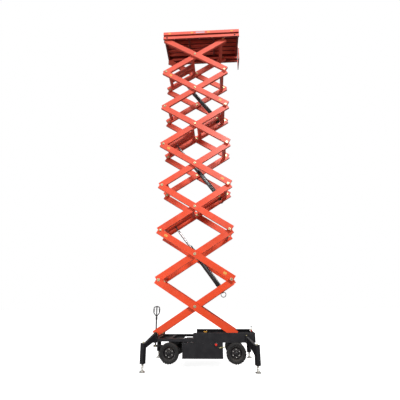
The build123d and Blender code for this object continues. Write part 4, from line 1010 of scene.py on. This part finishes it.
shape = bmesh.new()
for side in (-1, 1):
    for x in (box_low.x + 0.05, -0.15, 0.05, 0.20):
        for z in (box_high.z - 0.024, box_low.z + 0.030):
            dome = [(0, 0), (0.008, 0), (0.0078, 0.002), (0.005, 0.004), (0, 0.0045)]
            turned(shape, dome, (x, side * BOX_FACE, z), (0, side, 0), 16)
piece("box_screws", shape, chassis_paint, "chassis")
shape = bmesh.new()
for side in (-1, 1):
    spot = Vector((box_high.x - 0.017, side * (BOX_FACE + 0.006), 0.386))
    block(shape, spot, (0.120, 0.010, 0.022), edge=0.002, turn=Matrix.Rotation(math.radians(-10), 4, "Y"))
    block(shape, spot + Vector((0.018, side * 0.006, 0.006)), (0.040, 0.006, 0.014), edge=0.002)
    rivet = spot + Vector((-0.03, side * 0.006, 0))
    turned(shape, rod_outline(0.006, -0.008, 0.008, 0.001), rivet, (0, 1, 0), 16)
piece("box_latches", shape, zinc_yellow, "chassis")

# %% [markdown]
# ## Power unit
# Inside the open box sit an oil tank, a motor with cooling fins and a pump. The motor's fins
# are a ring of thin plates, and the tank has a filler cap and a plug.

# %% Motor fins, filler cap, hoses
MOTOR_LEFT, MOTOR_RIGHT = -0.05, 0.21
MOTOR = Vector((0, -0.09, 0.278))
TANK_TOP = 0.408
PUMP_TOP, BLOCK_TOP = 0.326, 0.308
COWL = [(0, 0), (0.078, 0), (0.080, 0.004), (0.080, 0.030), (0.070, 0.040), (0, 0.042)]
FILLER = [(0, 0), (0.024, 0), (0.024, 0.010), (0.030, 0.011), (0.030, 0.028), (0.026, 0.032), (0, 0.033)]
PLUG = [(0, 0), (0.012, 0), (0.012, 0.012), (0.009, 0.014), (0, 0.014)]
UNION = [(0, 0), (0.010, 0), (0.010, 0.012), (0.007, 0.013), (0.007, 0.026), (0, 0.026)]
shape = bmesh.new()
FINS = 28
for fin in range(FINS):
    around = math.tau * fin / FINS
    if math.sin(around) < -0.8:
        continue
    out = Vector((0, math.cos(around), math.sin(around)))
    spot = Vector(((MOTOR_LEFT + MOTOR_RIGHT) / 2, MOTOR.y, MOTOR.z)) + out * 0.080
    tilt = Matrix.Rotation(around - math.radians(90), 4, "X")
    block(shape, spot, (0.20, 0.003, 0.014), edge=0.0006, turn=tilt)
turned(shape, COWL, (MOTOR_LEFT, MOTOR.y, MOTOR.z), (-1, 0, 0), 40)
piece("motor_fins", shape, unit_paint, "chassis")
shape = bmesh.new()
turned(shape, FILLER, (-0.26, -0.12, TANK_TOP), UP)
turned(shape, PLUG, (-0.14, 0.10, TANK_TOP), UP, 24)
piece("tank_caps", shape, cylinder_paint, "chassis")
shape = bmesh.new()
for x, y in ((0.22, -0.12), (0.27, -0.06), (0.05, 0.12), (0.25, 0.16)):
    turned(shape, UNION, (x, y, PUMP_TOP if y < 0 else BLOCK_TOP), UP, 20)
piece("pump_fittings", shape, brass, "chassis")
HOSES = {
    "pump_hose": (0.009, [
        (0.22, -0.12, 0.350), (0.22, -0.12, 0.400), (0.17, -0.03, 0.430), (0.09, 0.08, 0.410),
        (0.05, 0.12, 0.370), (0.05, 0.12, 0.330),
    ]),
    "valve_hose": (0.009, [
        (0.27, -0.06, 0.350), (0.27, -0.06, 0.400), (0.32, -0.04, 0.440), (0.45, -0.04, 0.452),
        (0.60, -0.05, 0.452), (0.80, -0.08, 0.462), (0.95, -0.11, 0.490), (1.010, -0.14, 0.530),
        (1.030, -0.14, 0.560),
    ]),
    "cylinder_hose": (0.008, [
        (0.25, 0.16, 0.330), (0.25, 0.16, 0.390), (0.20, 0.18, 0.430), (0.05, 0.22, 0.450),
        (-0.10, 0.30, 0.452), (-0.30, 0.40, 0.458), (-0.50, 0.44, 0.470), (-0.58, 0.45, 0.486),
    ]),
}
for name, (radius, points) in HOSES.items():
    bent_tube(name, points, radius, hose_rubber, "chassis")

# %% [markdown]
# ## Valve block
# The block at the roller end of the chassis carries brass fittings, a pressure gauge and a
# red release knob. The lever ends in a black ball.

# %% Valve fittings, gauge and knobs
valve = Vector(joints["valve_lever_turn"]["pos_m"])
FITTING = [
    (0, 0), (0.012, 0), (0.012, 0.014), (0.008, 0.016), (0.008, 0.034), (0.010, 0.036), (0.010, 0.046),
    (0, 0.047),
]
KNOB = [(0, 0), (0.006, 0), (0.006, 0.020), (0.017, 0.024), (0.017, 0.034), (0.013, 0.038), (0, 0.038)]
DIAL = [
    (0, -0.014), (0.024, -0.014), (0.026, -0.012), (0.026, 0.010), (0.024, 0.012), (0.022, 0.010), (0, 0.010),
]
BALL = [(0.0065, -0.014), (0.012, -0.010), (0.0145, 0), (0.012, 0.008), (0.007, 0.0125), (0, 0.0135)]
shape = bmesh.new()
for side in (-1, 1):
    turned(shape, FITTING, (valve.x, valve.y + side * 0.040, 0.600), (0, side, 0), 20)
piece("valve_fittings", shape, brass, "chassis")
shape = bmesh.new()
turned(shape, KNOB, (valve.x - 0.005, valve.y - 0.030, 0.640), UP, 24)
piece("release_knob", shape, button_red, "chassis")
shape = bmesh.new()
gauge = Vector((valve.x - 0.002, valve.y + 0.085, 0.668))
turned(shape, DIAL, gauge, (-0.35, -0.93, 0.1))
turned(shape, rod_outline(0.006, -0.065, -0.018, 0.001), gauge, UP, 16)
piece("gauge_case", shape, zinc_plain, "chassis")
shape = bmesh.new()
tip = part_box("valve_lever")[1].z - 0.013
turned(shape, BALL, (valve.x, valve.y, tip), UP, 24)
piece("lever_ball", shape, cylinder_paint, "valve_lever")

# %% [markdown]
# ## Floor plates
# Thin sheets close the chassis between its low rails. They keep road dirt off the arms, and
# a gap is left beside the power box for hoses. Each sheet has a folded edge that stiffens it.

# %% Floor plates
PLATE_UNDER = 0.4885
shape = bmesh.new()
for left, right, reach in ((-0.850, -0.643, 0.466), (-0.577, -0.400, 0.466)):
    size = (right - left, 2 * reach, 0.0025)
    block(shape, ((left + right) / 2, 0, PLATE_UNDER + 0.003), size, edge=0.0008)
    for x in (left + 0.004, right - 0.004):
        block(shape, (x, 0, PLATE_UNDER + 0.010), (0.006, 2 * reach - 0.004, 0.014), edge=0.001)
piece("floor_plates", shape, chassis_paint, "chassis")

# %% [markdown]
# ## Marker lamp
# An amber lamp with a ribbed lens is fixed to the inside of the far rail.

# %% Marker lamp
lamp_place = Vector((0.059, 0.522, 0.592))
shape = bmesh.new()
block(shape, lamp_place + Vector((0, -0.003, 0)), (0.100, 0.006, 0.044), edge=0.002)
piece("marker_lamp_base", shape, hose_rubber, "chassis")
shape = bmesh.new()
block(shape, lamp_place + Vector((0, -0.013, 0)), (0.086, 0.018, 0.034), edge=0.007)
for rib in range(9):
    block(shape, lamp_place + Vector(((rib - 4) * 0.009, -0.0225, 0)), (0.003, 0.002, 0.026), edge=0.0006)
piece("marker_lamp_lens", shape, lamp_amber, "chassis")

# %% [markdown]
# ## Steering and tow bar
# The tow bar ends in a fork for the tiller, which has two looped grips with rubber
# sleeves. Zinc nuts lock the kingpins and the tow bar's bolts.

# %% Tiller grips, kingpin nuts, tow bar details
HEAD_TURN = math.radians(55)
TILLER_X = joints["tiller_fold"]["pos_m"][0]
TILLER_COLLAR = [(0.0152, -0.030), (0.020, -0.028), (0.020, 0.028), (0.0152, 0.030), (0.0152, -0.030)]
across_head = Vector((math.cos(HEAD_TURN), math.sin(HEAD_TURN), 0))
shape = bmesh.new()
for side in (-1, 1):
    spot = Vector((TILLER_X, 0, 0.982)) + across_head * side * 0.085
    sleeve = [(0.0102, 0.048), (0.0135, 0.048), (0.0145, 0.051)]
    for ridge in range(6):
        z = 0.054 + ridge * 0.009
        sleeve += [(0.0145, z), (0.0130, z + 0.003), (0.0130, z + 0.006)]
    sleeve += [(0.0145, 0.110), (0.0135, 0.112), (0.0102, 0.112), (0.0102, 0.048)]
    turned(shape, sleeve, spot, UP, 24)
piece("tiller_grips", shape, hose_rubber, "tiller")
shape = bmesh.new()
turned(shape, TILLER_COLLAR, (TILLER_X, 0, 0.905), UP, 28)
piece("tiller_collar", shape, chassis_paint, "tiller")
for name in ("front", "back"):
    spot = Vector(joints["kingpin_" + name]["pos_m"])
    shape = bmesh.new()
    nut(shape, spot + Vector((0, 0, 0.045)), UP, across=0.030, height=0.014)
    piece("kingpin_nut_" + name, shape, zinc_yellow, "knuckle_" + name)
shape = bmesh.new()
for side in (-1, 1):
    nut(shape, (TILLER_X, side * 0.030, 0.350), (0, side, 0), across=0.022, height=0.010)
nut(shape, (-0.80, 0, 0.368), UP, across=0.022, height=0.010)
piece("tow_bar_nuts", shape, zinc_yellow, "tow_bar")

# %% [markdown]
# ## Welds on the frames
# Where a cross tube meets a side tube of an inner frame there is a fillet weld all round.
# The bead is a short-stepped tube, painted over like the rest.

# %% Cross tube welds
CROSS_HALF = 0.035
INNER_BACK = 0.316
CROSS_REACH = 0.845
BEAM_REACH = 0.095
SQUARE = ((-1, -1), (1, -1), (1, 1), (-1, 1))
for stage in range(1, STAGES + 1):
    centre = Vector(joints[f"crossing_{stage}"]["pos_m"])
    along = Vector((math.cos(tube_angle), 0, math.sin(tube_angle)))
    up = Vector((-math.sin(tube_angle), 0, math.cos(tube_angle)))
    tubes = [-CROSS_REACH, CROSS_REACH]
    if stage in (3, 5, 7):
        tubes.append(-BEAM_REACH)
    if stage in (1, 3, 5):
        tubes.append(BEAM_REACH)
    runs = []
    for reach in tubes:
        for side in (-1, 1):
            middle = centre + along * reach + Vector((0, side * (INNER_BACK + 0.0005), 0))
            ring = [middle + along * a * CROSS_HALF + up * b * CROSS_HALF for a, b in SQUARE]
            runs += list(zip(ring, ring[1:] + ring[:1]))
    weld(f"cross_welds_{stage}", runs, 0.0035, lift_paint, f"inner_{stage}")
print("welded stages", STAGES)
